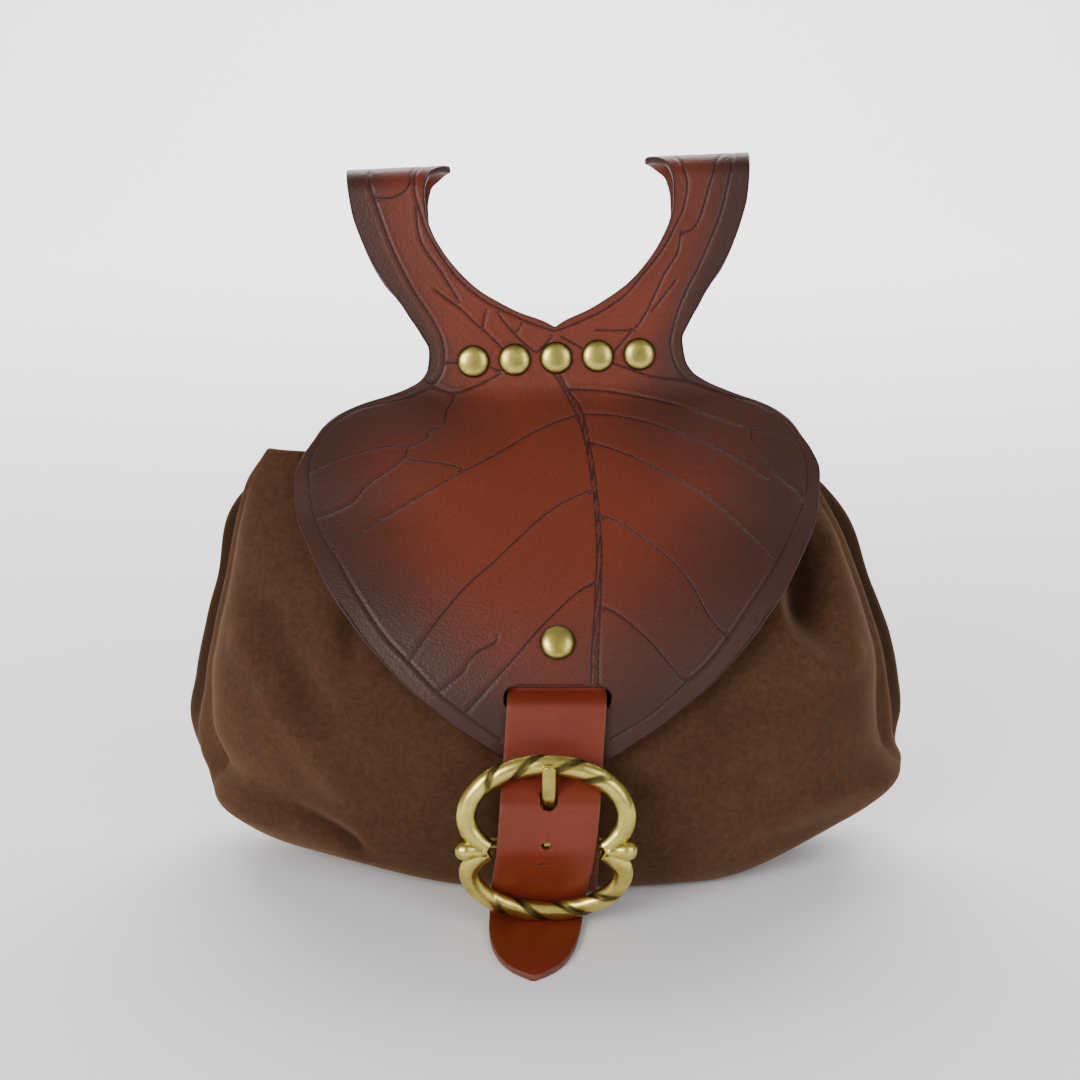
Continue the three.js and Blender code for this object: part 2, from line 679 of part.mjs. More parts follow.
const CHAPE_TURN = BAR.radius + GAP + CHAPE / 2;
function chapePath() {
  const round = [];
  for (let k = 0; k <= 12; k += 1) {
    const angle = rad(-28 + (236 * k) / 12);
    round.push([BAR.y + CHAPE_TURN * Math.cos(angle), BAR.z + CHAPE_TURN * Math.sin(angle)]);
  }
  const rise = rounded([
    [-42.6, 1.25, 0],
    [-47.8, 4.4, 5],
    [-53.5, 12.4, 10],
    [...round[0], 0],
  ]);
  rise.pop();
  return new Path([...rise, ...round, [-60.5, 19.5], [-58.2, 15.6]]);
}

function makeChape() {
  const solid = ribbon(chapePath(), () => [0.9, 14.9], CHAPE, 2, 7);
  const slot = new THREE.CylinderGeometry(5, 5, 2 * PRONG.halfWidth + 1, 16, 1);
  slot.rotateZ(Math.PI / 2);
  slot.translate(PRONG.x, BAR.y, BAR.z);
  return solid.subtract(toSolid(slot));
}

// ---------------------------------------------------------------- buckle
// A tube round a curve that lies in one plane; section(t, angle) gives its radius.
function tube(centres, flat, section) {
  const points = [];
  const count = centres.length;
  const rows = centres.map((centre, i) => {
    const tangent = centres[Math.min(i + 1, count - 1)].clone().sub(centres[Math.max(i - 1, 0)]).normalize();
    const side = tangent.clone().cross(flat).normalize();
    const row = [];
    for (let j = 0; j < TUBE_SEGMENTS; j += 1) {
      const angle = (2 * Math.PI * j) / TUBE_SEGMENTS;
      const radius = section(i / (count - 1), angle);
      const p = centre.clone().addScaledVector(side, radius * Math.cos(angle));
      row.push(points.push(p.addScaledVector(flat, radius * Math.sin(angle))) - 1);
    }
    return row;
  });
  const faces = gridFaces(rows, true);
  for (const [row, centre, isStart] of [
    [rows[0], centres[0], true],
    [rows[count - 1], centres[count - 1], false],
  ]) {
    const hub = points.push(centre.clone()) - 1;
    row.forEach((v, j) => {
      const next = row[(j + 1) % row.length];
      faces.push(isStart ? [hub, next, v] : [hub, v, next]);
    });
  }
  const outward = faces.map(([a, b, c]) => [a, c, b]);
  const geometry = new THREE.BufferGeometry().setFromPoints(points).setIndex(outward.flat());
  return toSolid(geometry);
}

// A point of the frame's plane: x, and the distance from the waist (up positive).
function framePoint(x, rise) {
  const lean = rad(rise > 0 ? FRAME.upperLean : FRAME.lowerLean);
  const away = Math.abs(rise);
  const up = Math.sign(rise) * away * Math.cos(lean);
  return new THREE.Vector3(x, FRAME.y + away * Math.sin(lean), FRAME.z + up);
}

function frameLoop(shape, side) {
  const centres = [];
  const sweep = 180 - 2 * shape.from;
  for (let i = 0; i <= LOOP_SEGMENTS; i += 1) {
    const angle = rad(180 - shape.from - (sweep * i) / LOOP_SEGMENTS);
    const height = Math.sin(angle) > 0 ? shape.over : shape.under;
    centres.push(framePoint(shape.half * Math.cos(angle), shape.rise + side * height * Math.sin(angle)));
  }
  const lean = rad(side > 0 ? FRAME.upperLean : -FRAME.lowerLean);
  const flat = new THREE.Vector3(0, -Math.cos(lean), Math.sin(lean));
  const section = (t, angle) => {
    const twisted = 1 - smooth((t - FRAME_TWIST.plainFrom) / 0.12);
    const lobes = Math.cos(2 * angle - side * 2 * Math.PI * FRAME_TWIST.turns * t);
    return FRAME.tube * (1 + twisted * FRAME_TWIST.depth * lobes);
  };
  return tube(centres, flat, section);
}

const KNOB = [
  [2.3, 17.3],
  [2.4, 20.5],
  [2.9, 22.6],
  [3, 24],
  [2.4, 26],
  [1.2, 26.8],
  [0, 27],
];
function makeFrame() {
  const pieces = [frameLoop(FRAME_UPPER, 1), frameLoop(FRAME_LOWER, -1)];
  for (const side of [-1, 1]) {
    const profile = [[0, KNOB[0][1]], ...KNOB].map(([r, x]) => new THREE.Vector2(r, x));
    const knob = new THREE.LatheGeometry(profile, 10);
    knob.rotateZ(-side * Math.PI * 0.5);
    knob.translate(0, FRAME.y, FRAME.z);
    pieces.push(toSolid(knob));
    const link = new THREE.CylinderGeometry(1.9, 1.9, BAR.y - FRAME.y + 1.6, 10, 1);
    link.translate(side * 19.2, (BAR.y + FRAME.y + 1.6) / 2, FRAME.z);
    pieces.push(toSolid(link));
  }
  const bar = new THREE.CylinderGeometry(BAR.radius, BAR.radius, 2 * BAR.half, 12, 1);
  bar.rotateZ(Math.PI / 2);
  bar.translate(0, BAR.y, BAR.z);
  pieces.push(toSolid(bar));
  return wasm.Manifold.union(pieces);
}

function makeProng() {
  const turn = BAR.radius + GAP + PRONG.thickness / 2;
  const points = [];
  for (let k = 0; k <= 12; k += 1) {
    const angle = rad(-215 + (305 * k) / 12);
    points.push([BAR.y + turn * Math.cos(angle), BAR.z + turn * Math.sin(angle)]);
  }
  const path = new Path([...points.slice(0, -1), [BAR.y - 0.4, BAR.z + turn], [-63.3, 35], [...PRONG.tip]]);
  const plan = (length) => [PRONG.x, path.total - length < 0.1 ? PRONG.halfWidth * 0.7 : PRONG.halfWidth];
  return ribbon(path, plan, PRONG.thickness, 2, 12);
}

const parts = new Map([
  ["pouch", makePouch()],
  ["flap", makeFlap()],
  ["closure_strap", makeStrap()],
  ["buckle_strap", makeChape()],
  ["buckle_frame", makeFrame()],
  ["buckle_prong", makeProng()],
]);
for (const site of rivetSites()) parts.set(site.name, makeRivet(site));

// ---------------------------------------------------------------- the group
const LOOKS = {
  suede: { color: 0x4a2f1e, roughness: 0.95, metalness: 0 },
  leather: { color: 0x6b2417, roughness: 0.5, metalness: 0 },
  strap: { color: 0x7c2f1c, roughness: 0.45, metalness: 0 },
  brass: { color: 0x9a8347, roughness: 0.35, metalness: 1 },
};
const lookOf = (name) => {
  if (name === "pouch") return LOOKS.suede;
  if (name === "flap") return LOOKS.leather;
  return name.endsWith("strap") ? LOOKS.strap : LOOKS.brass;
};
const group = new THREE.Group();
for (const [name, solid] of parts) {
  const material = new THREE.MeshStandardMaterial(lookOf(name));
  const mesh = new THREE.Mesh(toGeometry(solid.translate(ORIGIN)), material);
  mesh.name = name;
  group.add(mesh);
}
export default group;
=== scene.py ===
"""Looks of the waist bag: a soft suede pouch, a leaf-embossed leather flap with two belt loops, a strap
and an antique brass buckle. Lengths are in millimetres until a mesh is made; +Z is up, the flap faces -Y."""

import functools
import math

import bpy
import numpy as np
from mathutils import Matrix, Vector


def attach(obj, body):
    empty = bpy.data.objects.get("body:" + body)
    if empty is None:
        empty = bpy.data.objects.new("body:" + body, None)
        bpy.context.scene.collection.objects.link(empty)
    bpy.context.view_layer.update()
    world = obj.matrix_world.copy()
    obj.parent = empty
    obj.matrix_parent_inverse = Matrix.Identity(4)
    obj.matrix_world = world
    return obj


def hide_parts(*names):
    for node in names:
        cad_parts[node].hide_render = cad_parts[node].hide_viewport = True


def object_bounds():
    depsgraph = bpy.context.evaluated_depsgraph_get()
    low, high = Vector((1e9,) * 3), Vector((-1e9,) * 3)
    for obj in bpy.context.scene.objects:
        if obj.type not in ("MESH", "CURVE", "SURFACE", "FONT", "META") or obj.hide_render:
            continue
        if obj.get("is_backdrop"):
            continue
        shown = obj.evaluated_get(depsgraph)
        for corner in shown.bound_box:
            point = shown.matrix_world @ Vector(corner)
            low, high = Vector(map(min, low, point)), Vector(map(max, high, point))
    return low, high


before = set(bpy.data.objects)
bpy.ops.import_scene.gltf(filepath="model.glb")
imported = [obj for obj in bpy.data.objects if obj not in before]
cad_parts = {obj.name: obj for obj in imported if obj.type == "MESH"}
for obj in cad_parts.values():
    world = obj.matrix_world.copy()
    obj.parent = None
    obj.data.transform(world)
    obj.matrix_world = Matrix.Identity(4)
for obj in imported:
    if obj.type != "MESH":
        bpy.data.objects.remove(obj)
size_at_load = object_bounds()

MM = 0.001
NEAR, FAR = 4.0, 9.0  # distances to a pressed line or edge: looked at up to here, and too large to matter
RIM_DEPTH = 0.999  # how far in a rounded edge begins, in edge radii
SHIFT = np.array([0.0, 18.1, 0.0])  # from the bag's own measures to the frame
LEATHER, SUEDE, STRAP, CHAPE = 2.2, 1.8, 2.0, 1.6  # thicknesses; the chape is the buckle's own short strap
GAP = 0.3  # between pieces


# ---------------------------------------------------------------- small helpers
def fade(x, start, end):
    """0 up to start and 1 from end on, smooth between; a start above the end turns it round."""
    share = np.clip((x - start) / (end - start), 0.0, 1.0)
    return share * share * (3 - 2 * share)


def read(table, at, column):
    """Straight reading of a table whose first column rises."""
    t = np.asarray(table, float)
    return np.interp(at, t[:, 0], t[:, column])


def curve(table, at, column):
    """Smooth reading of a table whose first column rises (cubic, tangents from the neighbours)."""
    t = np.asarray(table, float)
    x, y = t[:, 0], t[:, column]
    slope = np.diff(y) / np.diff(x)
    tangent = np.zeros(len(x))
    tangent[0], tangent[-1] = slope[0], slope[-1]
    before, after = slope[:-1], slope[1:]
    same = before * after > 0
    tangent[1:-1] = np.where(same, 2 * before * after / np.where(same, before + after, 1), 0)
    at = np.clip(at, x[0], x[-1])
    i = np.clip(np.searchsorted(x, at, side="right") - 1, 0, len(x) - 2)
    h = x[i + 1] - x[i]
    p = (at - x[i]) / h
    a = (1 + 2 * p) * (1 - p) ** 2 * y[i] + p * (1 - p) ** 2 * h * tangent[i]
    return a + p * p * (3 - 2 * p) * y[i + 1] + p * p * (p - 1) * h * tangent[i + 1]


def unit(v):
    return v / np.maximum(np.linalg.norm(v, axis=-1, keepdims=True), 1e-9)


class Path:
    """A polyline of (y, z) read by its length."""

    def __init__(self, points):
        self.points = np.asarray(points, float)
        steps = np.linalg.norm(np.diff(self.points, axis=0), axis=1)
        self.lengths = np.concatenate([[0], np.cumsum(steps)])
        self.total = self.lengths[-1]

    def at(self, length):
        return [np.interp(length, self.lengths, self.points[:, i]) for i in (0, 1)]


def chain(start, lean, rows, sign, step=0.25):
    """Arcs in the side view: lean changes evenly along each row; sign -1 runs down and forwards."""
    points = [np.array(start, float)]
    angle = lean
    for length, end in rows:
        count = max(4, int(math.ceil(length / step)))
        for i in range(count):
            here = math.radians(angle + (end - angle) * (i + 0.5) / count)
            points.append(points[-1] + sign * length / count * np.array([math.sin(here), math.cos(here)]))
        angle = end
    return points


def rounded(corners, steps=16):
    """A polyline of (y, z, radius) with each inner corner rounded."""
    out = []
    for i, (y, z, radius) in enumerate(corners):
        here = np.array([y, z], float)
        if i in (0, len(corners) - 1) or radius == 0:
            out.append(here)
            continue
        back = np.array(corners[i - 1][:2]) - here
        on = np.array(corners[i + 1][:2]) - here
        lb, lo = np.linalg.norm(back), np.linalg.norm(on)
        half = math.acos(max(-1.0, min(1.0, float(back @ on) / lb / lo))) / 2
        cut = min(radius / math.tan(half), 0.49 * min(lb, lo))
        a, b = here + back / lb * cut, here + on / lo * cut
        for k in range(steps + 1):
            t = k / steps
            out.append((1 - t) ** 2 * a + 2 * t * (1 - t) * here + t * t * b)
    return out


def spline(points, step=0.4):
    """A smooth line through points of a plane, as close points."""
    p = np.asarray(points, float)
    ends = np.vstack([2 * p[0] - p[1], p, 2 * p[-1] - p[-2]])
    out = [p[:1]]
    for a, b, c, d in zip(ends, ends[1:], ends[2:], ends[3:]):
        count = max(2, int(np.linalg.norm(c - b) / step))
        t = (np.arange(1, count + 1) / count)[:, None]
        square, cube = 2 * a - 5 * b + 4 * c - d, 3 * b - a - 3 * c + d
        out.append(0.5 * (2 * b + (c - a) * t + square * t**2 + cube * t**3))
    return np.vstack(out)


def distance_to(points, a, b):
    """Distance from each point to the straight line from a to b."""
    along = b - a
    t = np.clip(((points - a) @ along) / max(float(along @ along), 1e-9), 0, 1)
    return np.linalg.norm(points - a - t[:, None] * along, axis=1)


def distance_to_line(points, line):
    return functools.reduce(np.minimum, (distance_to(points, a, b) for a, b in zip(line, line[1:])))


def side_of_lines(points, lines):
    """Distance from each point of a plane to the nearest line, with the side as its sign; FAR at most."""
    signed = np.full(len(points), FAR)
    for line in lines:
        close = np.all((points > line.min(0) - NEAR) & (points < line.max(0) + NEAR), axis=1)
        q, best = points[close], signed[close]
        for a, b in zip(line, line[1:]):
            away = distance_to(q, a, b)
            turned = (b - a)[0] * (q - a)[:, 1] - (b - a)[1] * (q - a)[:, 0]
            best = np.where(away < np.abs(best), np.where(turned < 0, -away, away), best)
        signed[close] = best
    return signed


def across_loop(points, axis=0):
    """From the point before to the point after, round a closed loop."""
    return np.roll(points, -1, axis=axis) - np.roll(points, 1, axis=axis)


def bridge(ring, other):
    """Quads between two closed rings of vertices."""
    return np.stack([ring, np.roll(ring, -1), np.roll(other, -1), other], -1)


def fan(ring, hub):
    """Triangles from a closed ring of vertices to one vertex."""
    return np.stack([ring, np.roll(ring, -1), np.full(len(ring), hub)], -1)


def grid_quads(rows, columns, closed=False, start=0):
    """Quads of a grid of rows x columns whose vertices are numbered from start, row by row."""
    j = np.arange(columns if closed else columns - 1)
    k = (j + 1) % columns
    i = np.arange(rows - 1)[:, None] * columns + start
    return np.stack([i + j, i + k, i + columns + k, i + columns + j], -1).reshape(-1, 4)


def make_object(name, points, faces, attributes=None):
    """A mesh object from millimetres; faces is a list of arrays of quads or triangles."""
    mesh = bpy.data.meshes.new(name)
    corners = [face for part in faces for face in part.tolist()]
    mesh.from_pydata(((np.asarray(points) + SHIFT) * MM).tolist(), [], corners)
    for key, values in (attributes or {}).items():
        mesh.attributes.new(key, "FLOAT", "POINT").data.foreach_set("value", np.asarray(values, np.float32))
    mesh.polygons.foreach_set("use_smooth", np.ones(len(mesh.polygons), bool))
    mesh.validate()
    mesh.update()
    made = bpy.data.objects.new(name, mesh)
    bpy.context.scene.collection.objects.link(made)
    return made


def boundary_loops(faces):
    """Loops of vertices along the open edges of a surface, in the direction of its faces."""
    a, b = faces.ravel(), np.roll(faces, -1, axis=1).ravel()
    key = np.minimum(a, b) * (faces.max() + 1) + np.maximum(a, b)
    _, index, count = np.unique(key, return_index=True, return_counts=True)
    once = index[count == 1]
    follows = dict(zip(a[once].tolist(), b[once].tolist()))
    loops = []
    while follows:
        first, on = follows.popitem()
        loop = [first]
        while on != first:
            loop.append(on)
            on = follows.pop(on)
        loops.append(np.array(loop))
    return loops


def outward_of(points, normal):
    """The direction out of a surface at each point of a loop along its edge."""
    return unit(np.cross(unit(across_loop(points)), normal))


def rim(middle, normal, loop, thickness, radius, rings=7):
    """Rings that round the cut edge of a skin; returns points and quads; the first ring is the front edge."""
    p, n = middle[loop], normal[loop]
    outward = outward_of(p, n)
    points = []
    for k in range(rings):
        angle = math.pi / 2 - math.pi * k / (rings - 1)
        lift = 0.0 if k == rings // 2 else math.copysign(thickness / 2 - radius, math.sin(angle))
        inside = outward * radius * (math.cos(angle) - 1) * RIM_DEPTH
        points.append(p + inside + n * (lift + radius * math.sin(angle)))
    return np.vstack(points), grid_quads(rings, len(loop), closed=True)


class Parts:
    """Points, faces and point values of one mesh, gathered part by part."""

    def __init__(self):
        self.points = []
        self.faces = []
        self.values = {}
        self.total = 0

    def add(self, points, faces, **values):
        """Faces count the part's own points from 0; a value is one number, or one for each point."""
        self.points.append(points)
        self.faces.append(faces + self.total)
        for name, value in values.items():
            self.values.setdefault(name, []).append(np.broadcast_to(value, len(points)))
        self.total += len(points)

    def build(self, name):
        values = {key: np.concatenate(parts) for key, parts in self.values.items()}
        return make_object(name, np.vstack(self.points), self.faces, values)


# ---------------------------------------------------------------- the flap's surface
CENTRE_X = 3.4
NECK_Y, NECK_Z, NECK_LEAN = 26.0, 155.5, 13.0
FLAP_TIP = 142.0
SHIELD_SAG = 0.0009  # times the distance from the middle squared: how far back the sides of the shield lie
LOOP_ROLL, LOOP_TURN, LOOP_TOP = 8.0, 195.0, 58.6  # radius, degrees, and the top's distance from the notch
LOOP_OFFSET = LEATHER + SUEDE + 2 * GAP + 0.15  # from the flap to the loops' ends behind the neck
# the side view from the rivet row: length of each arc, and the lean where it ends
FLAP_DOWN = [(6, 14), (10, 52), (44, 52), (52, 27), (14, 9), (30, 2)]
FLAP_UP = [(20, 14), (35, 16)]
# distance from the rivet row, how far the leather is turned in its own plane (degrees)
TURN = [(-200, 2.5), (0, 2.5), (14, 0.8), (40, 0.6), (60, 0), (150, 0)]
# distance from the rivet row, half width
SHIELD_HALF_WIDTH = [
    (-10, 43.6), (-4, 40.9), (2, 41.6), (5.5, 43.6), (8.8, 48.4), (12, 55.6), (15.5, 64), (20, 70.9),
    (25, 75), (30, 77.4), (37, 80.6), (45, 82.6), (51, 82.2), (58, 81.3), (63, 80.2), (70, 77.4),
    (80, 72.6), (88, 68.3), (94, 63.9), (101, 58.6), (107.6, 52.6), (115, 45.2), (121, 37.6), (126, 31.2),
    (131.4, 23), (136.2, 15.6), (140, 8.4), (141.7, 3.4), (142.2, 0.6),
]
# distance from the foot of the notch, inner edge, outer edge
HORN_EDGES = [
    (0, 0, 43.6), (2, 3.4, 44.8), (5, 10.8, 46.7), (8, 16.4, 48.4), (13, 24, 51.8), (20, 30.8, 56.2),
    (26, 35, 59.2), (32, 38, 61.5), (38, 39.6, 63.3), (44, 39.8, 64.2), (50, 38.5, 64.8), (54, 35, 65),
    (LOOP_TOP, 31.4, 65),
]
# the two ends behind the neck stay this far from the middle, and are narrower at the outer edge
HORN_BACK_INNER_LEAST, HORN_BACK_LESS, HORN_BACK_FADE = 5.5, 4.5, 18.0
NOTCH = -10.0
HORN_STEP = 1.15  # rows on the horns, against those on the shield


def from_neck(up, behind):
    """(y, z) of a point so far up the leaning neck from the rivet row, and so far behind it."""
    lean = math.radians(NECK_LEAN)
    return (
        NECK_Y + up * math.sin(lean) + behind * math.cos(lean),
        NECK_Z + up * math.cos(lean) - behind * math.sin(lean),
    )


def horn_path():
    points = chain((NECK_Y, NECK_Z), NECK_LEAN, FLAP_UP, 1)
    start = FLAP_UP[-1][1]
    roll = chain(points.pop(), start, [(LOOP_ROLL * math.radians(LOOP_TURN), start + LOOP_TURN)], 1)
    end = roll.pop()
    tail = rounded([(*end, 0), (*from_neck(14, LOOP_OFFSET), 22), (*from_neck(-8, LOOP_OFFSET), 0)])
    return Path(points + roll + tail)


down_path = Path(chain((NECK_Y, NECK_Z), NECK_LEAN, FLAP_DOWN, -1))
up_path = horn_path()


def flap_point(u, s):
    """The middle of the leather: u across, s down from the rivet row (less than 0 on the horns)."""
    u, s = np.broadcast_arrays(np.asarray(u, float), np.asarray(s, float))
    down_y, down_z = down_path.at(np.maximum(s, 0))
    up_y, up_z = up_path.at(np.maximum(-s, 0))
    y = np.where(s >= 0, down_y, up_y) + SHIELD_SAG * fade(s, 10, 50) * u * u
    z = np.where(s >= 0, down_z, up_z)
    turn = np.radians(read(TURN, s, 1))
    lean = math.radians(NECK_LEAN)
    dy, dz = y - NECK_Y, z - NECK_Z
    along = dy * math.sin(lean) + dz * math.cos(lean)
    out = dy * math.cos(lean) - dz * math.sin(lean)
    x = u * np.cos(turn) - along * np.sin(turn)
    up = along * np.cos(turn) + u * np.sin(turn)
    return np.stack([CENTRE_X + x, *from_neck(up, out)], -1)


def flap_normal(u, s):
    across = flap_point(u + 0.5, s) - flap_point(u - 0.5, s)
    down = flap_point(u, s + 0.5) - flap_point(u, s - 0.5)
    return unit(np.cross(down, across))


def horn_edges(q):
    """The inner and outer edge of a horn, this far from the foot of the notch over the top and down."""
    mirrored = np.where(q > LOOP_TOP, np.maximum(0, 2 * LOOP_TOP - q), q)
    inner, outer = curve(HORN_EDGES, mirrored, 1), curve(HORN_EDGES, mirrored, 2)
    inner = np.where(q > LOOP_TOP, np.maximum(inner, HORN_BACK_INNER_LEAST), inner)
    return inner, outer - np.where(q > LOOP_TOP, HORN_BACK_LESS * (1 - fade(mirrored, 0, HORN_BACK_FADE)), 0)


def spaced(edge, start, end, step):
    """Distances from start to end, so that edge(distance) moves about a step each time."""
    fine = np.linspace(start, end, 4000)
    moved = np.sqrt(np.gradient(edge(fine), fine) ** 2 * 0.6 + 1)
    length = np.concatenate([[0], np.cumsum((moved[1:] + moved[:-1]) / 2 * np.abs(np.diff(fine)))])
    count = max(2, int(round(length[-1] / step)))
    return np.interp(np.linspace(0, length[-1], count + 1), length, fine)


# Lines pressed into the leather, as (across, distance from the rivet row).
VEINS = [
    [(-0.7, 5.4), (2, 9.8), (5.2, 17.3), (7.5, 24.9), (9.1, 33.5), (10.1, 41.8), (11.2, 52.7), (11.9, 62.1),
     (12.1, 73.4), (11.6, 82.9), (11, 94.2), (10.3, 103), (9.9, 113)],
    [(1.5, 6.2), (3.8, 10.8), (7, 16.3), (8.6, 22.1), (9.9, 30.7), (11.2, 40.5), (12.3, 51.4), (13, 60.8),
     (13.5, 71), (13.3, 80.6), (12.8, 92), (12.2, 103), (12, 113.4)],
    [(6.8, 20.4), (-1.8, 24.1), (-9.8, 28.9), (-19.9, 36.4), (-28.6, 42.1), (-41.8, 52.2), (-57.7, 65.2),
     (-68, 73.3)],
    [(-28.6, 42.1), (-33.4, 40.2), (-39, 39.1), (-47.2, 38)],
    [(-33.5, 10.9), (-33.6, 14.2), (-35.4, 18.2), (-35.5, 22.9), (-37.3, 24.9), (-40.9, 26.9),
     (-41.3, 29.8), (-47.1, 33), (-47.5, 36), (-50.3, 40), (-53.5, 43.3), (-59.8, 49.8), (-62.6, 55.1),
     (-68, 59.5), (-74.2, 62.5)],
    [(-47.5, 33.3), (-50.5, 32.5), (-55, 33.1), (-62.9, 35.5), (-70.7, 38.9), (-77.5, 44)],
    [(-42.7, 5.3), (-39.7, 8.1), (-33.5, 10.9), (-27.1, 9), (-20.1, 5.6), (-18, 4.4)],
    [(10.6, 50.1), (2.6, 54.3), (-4.3, 59.9), (-11.5, 67.7), (-19.1, 75.9), (-27.6, 84.3), (-36, 95),
     (-44, 107.2)],
    [(-18, 99.3), (-18.6, 101.3), (-23.1, 103.7), (-26.2, 106.6), (-27.7, 109.6), (-30.5, 112.2),
     (-35, 116.1)],
    [(11.2, 82.6), (5.8, 85.9), (0.4, 91.1), (-6.1, 97.9), (-13.5, 106.6), (-19.8, 113.7), (-27.3, 122.3)],
    [(3.4, 10.4), (14.4, 11.2), (24.7, 13.1), (35, 15.9), (45.1, 19.9), (52.9, 23.3), (60.7, 27),
     (69.6, 30.2), (75.1, 33.7)],
    [(8.8, 20.2), (18.7, 21.1), (28.9, 23.9), (38.9, 28.6), (47.8, 33.3), (55.4, 39), (65.2, 47.4)],
    [(61.5, 27.4), (61.9, 32.9), (65.6, 40.9), (69.8, 47.9), (74.1, 52), (76.4, 56)],
    [(10.2, 31.4), (17.2, 34.2), (25, 38.3), (33.8, 44), (42.6, 50.2), (50.2, 57.1), (58.6, 67.3),
     (66.4, 77.9)],
    [(13.3, 59.2), (19.1, 62.2), (24.5, 66.4), (30.9, 72), (37.2, 78.6), (41.3, 85.3), (45.4, 93.7),
     (50.8, 100.6)],
    [(12.9, 90), (17.5, 92.3), (22.8, 96.5), (29.1, 102.7), (33.3, 108), (37.9, 113.4)],
]
TWIGS = [
    [(-57.4, -62), (-57.5, -58.7), (-55.9, -52.8), (-53.5, -44.6), (-50.4, -35.6), (-47.1, -28.3),
     (-43.8, -21.8), (-40.5, -16.3), (-37.6, -10.8), (-36.2, -6.3), (-35.9, -1.7), (-37, 3.4), (-39.8, 8)],
    [(-56.2, -53.9), (-54, -53.3), (-50.4, -53.3), (-46.8, -54.7), (-44.5, -57.3), (-43.6, -61.5),
     (-41, -66), (-37, -69)],
    [(-42.8, -50), (-42.5, -43.3), (-41.6, -38.8), (-39.6, -35.1), (-36.6, -30.5), (-32.9, -24.1),
     (-30.5, -19.9)],
    [(-38.1, -23.6), (-35.7, -21.5), (-33.1, -19.4), (-29.6, -16.7), (-26.2, -13), (-21.8, -8.8),
     (-16.7, -3.2)],
    [(-21.9, -16), (-22.7, -12.9), (-23.1, -10.6)],
    [(-18, -14.9), (-15.8, -11.7), (-12.8, -7.9), (-9.4, -4.6), (-5.9, -2.2), (-1.2, -6.5)],
    [(-10.7, -11.4), (-12.1, -9), (-13.9, -9.4)],
    [(2.1, -6.6), (5.6, -4.4), (8.4, -2.7)],
    [(13.2, -8.3), (17.9, -8), (25.1, -8.2), (28.9, -12.4), (31.8, -17.6), (35.7, -25.1), (40, -31.6),
     (41.6, -38)],
    [(39.4, -23.1), (35.4, -18.4), (31.7, -14.1)],
    [(25.1, -8.1), (22.3, -5), (18.7, -1.2)],
    [(60.3, -68), (59.6, -62), (58.2, -56.9), (56.5, -50.5), (54.4, -43.5), (50.5, -34.7), (46.6, -26.8),
     (42.7, -19.9), (39.8, -13.7), (38, -8.4), (36.8, -3.1), (37.6, 2.2), (40, 6.4), (43.8, 9)],
    [(58.6, -66), (55, -62), (52.9, -57), (51, -52), (48.4, -44), (45.6, -39.4), (41.7, -38)],
    [(-35.6, -0.1), (-31.8, 0.3)],
    [(-20.5, 2.6), (-17.9, 3.5)],
    [(18.4, 2.5), (22.9, 4.2), (30.9, 6.9), (40, 8.1), (43.8, 9)],
]
BORDERS = [
    [(-39.8, 8), (-44.8, 10.6), (-51.1, 13.6), (-61.4, 16.3), (-68.1, 20.1), (-73.6, 26.5), (-77.5, 36.1),
     (-78.3, 45.5), (-75.6, 59.9), (-71.9, 68.8), (-67.6, 75.4), (-61.1, 86.4), (-52.1, 99.4), (-44, 107.8),
     (-35.8, 116.1), (-27.3, 122.7), (-16.9, 130.2)],
    [(43.8, 9), (53.4, 12.6), (63.6, 16.7), (71.2, 23.4), (76.3, 32.6), (78.5, 42.9), (77.3, 54.8),
     (71.9, 67.6), (66.3, 78.2), (58.5, 89.7), (50.6, 100.7), (44, 108.5), (37.9, 113.6), (27.9, 122.3),
     (15.2, 130.2)],
    [(-37, -69), (-42, -62), (-43, -55.4), (-41.5, -48.6), (-39.7, -42.3), (-36.4, -35.8), (-31.8, -28.5),
     (-26.6, -22.9), (-21.4, -18.7), (-16.1, -15.7), (-9, -12.1), (-3.7, -9.9), (-0.2, -8.7), (4.4, -9.9),
     (9.9, -11.9), (14.5, -13.9), (19.1, -16.4), (23.8, -19.8), (28.5, -25), (33.2, -30.1), (37, -35.3),
     (39.9, -40.5), (42.3, -44.9), (44, -51.1), (44, -55.6), (42, -61.9), (38.5, -67)],
]
# the slot for the strap: a rounded box, as a core box and the round of its corners
SLOT_FROM, SLOT_TO, SLOT_HALF = 114.5, 121.0, 15.8
SLOT_CENTRE = np.array([0, (SLOT_FROM + SLOT_TO) / 2])
SLOT_ROUND = (SLOT_TO - SLOT_FROM) / 2 * 0.9
SLOT_CORE = np.array([SLOT_HALF - SLOT_ROUND, (SLOT_TO - SLOT_FROM) / 2 - SLOT_ROUND])


def slot_snap(uv, inside):
    """Moves the marked points of (u, s) onto the outline of the slot."""
    out = uv.copy()
    p = uv[inside] - SLOT_CENTRE
    core = np.clip(p, -SLOT_CORE, SLOT_CORE)
    out[inside] = core + unit(p - core) * SLOT_ROUND + SLOT_CENTRE
    return out


def in_slot(uv):
    beyond = np.abs(uv - SLOT_CENTRE) - SLOT_CORE
    return np.linalg.norm(np.maximum(beyond, 0), axis=1) < SLOT_ROUND


def shield_half(s):
    return curve(SHIELD_HALF_WIDTH, s, 1)


def horn_inner(q):
    return horn_edges(q)[0]


def sheet_points(u, s):
    """Points (u, s) of a grid: a row of u for each s."""
    return np.stack([u, np.repeat(s[:, None], u.shape[1], 1)], -1).reshape(-1, 2)


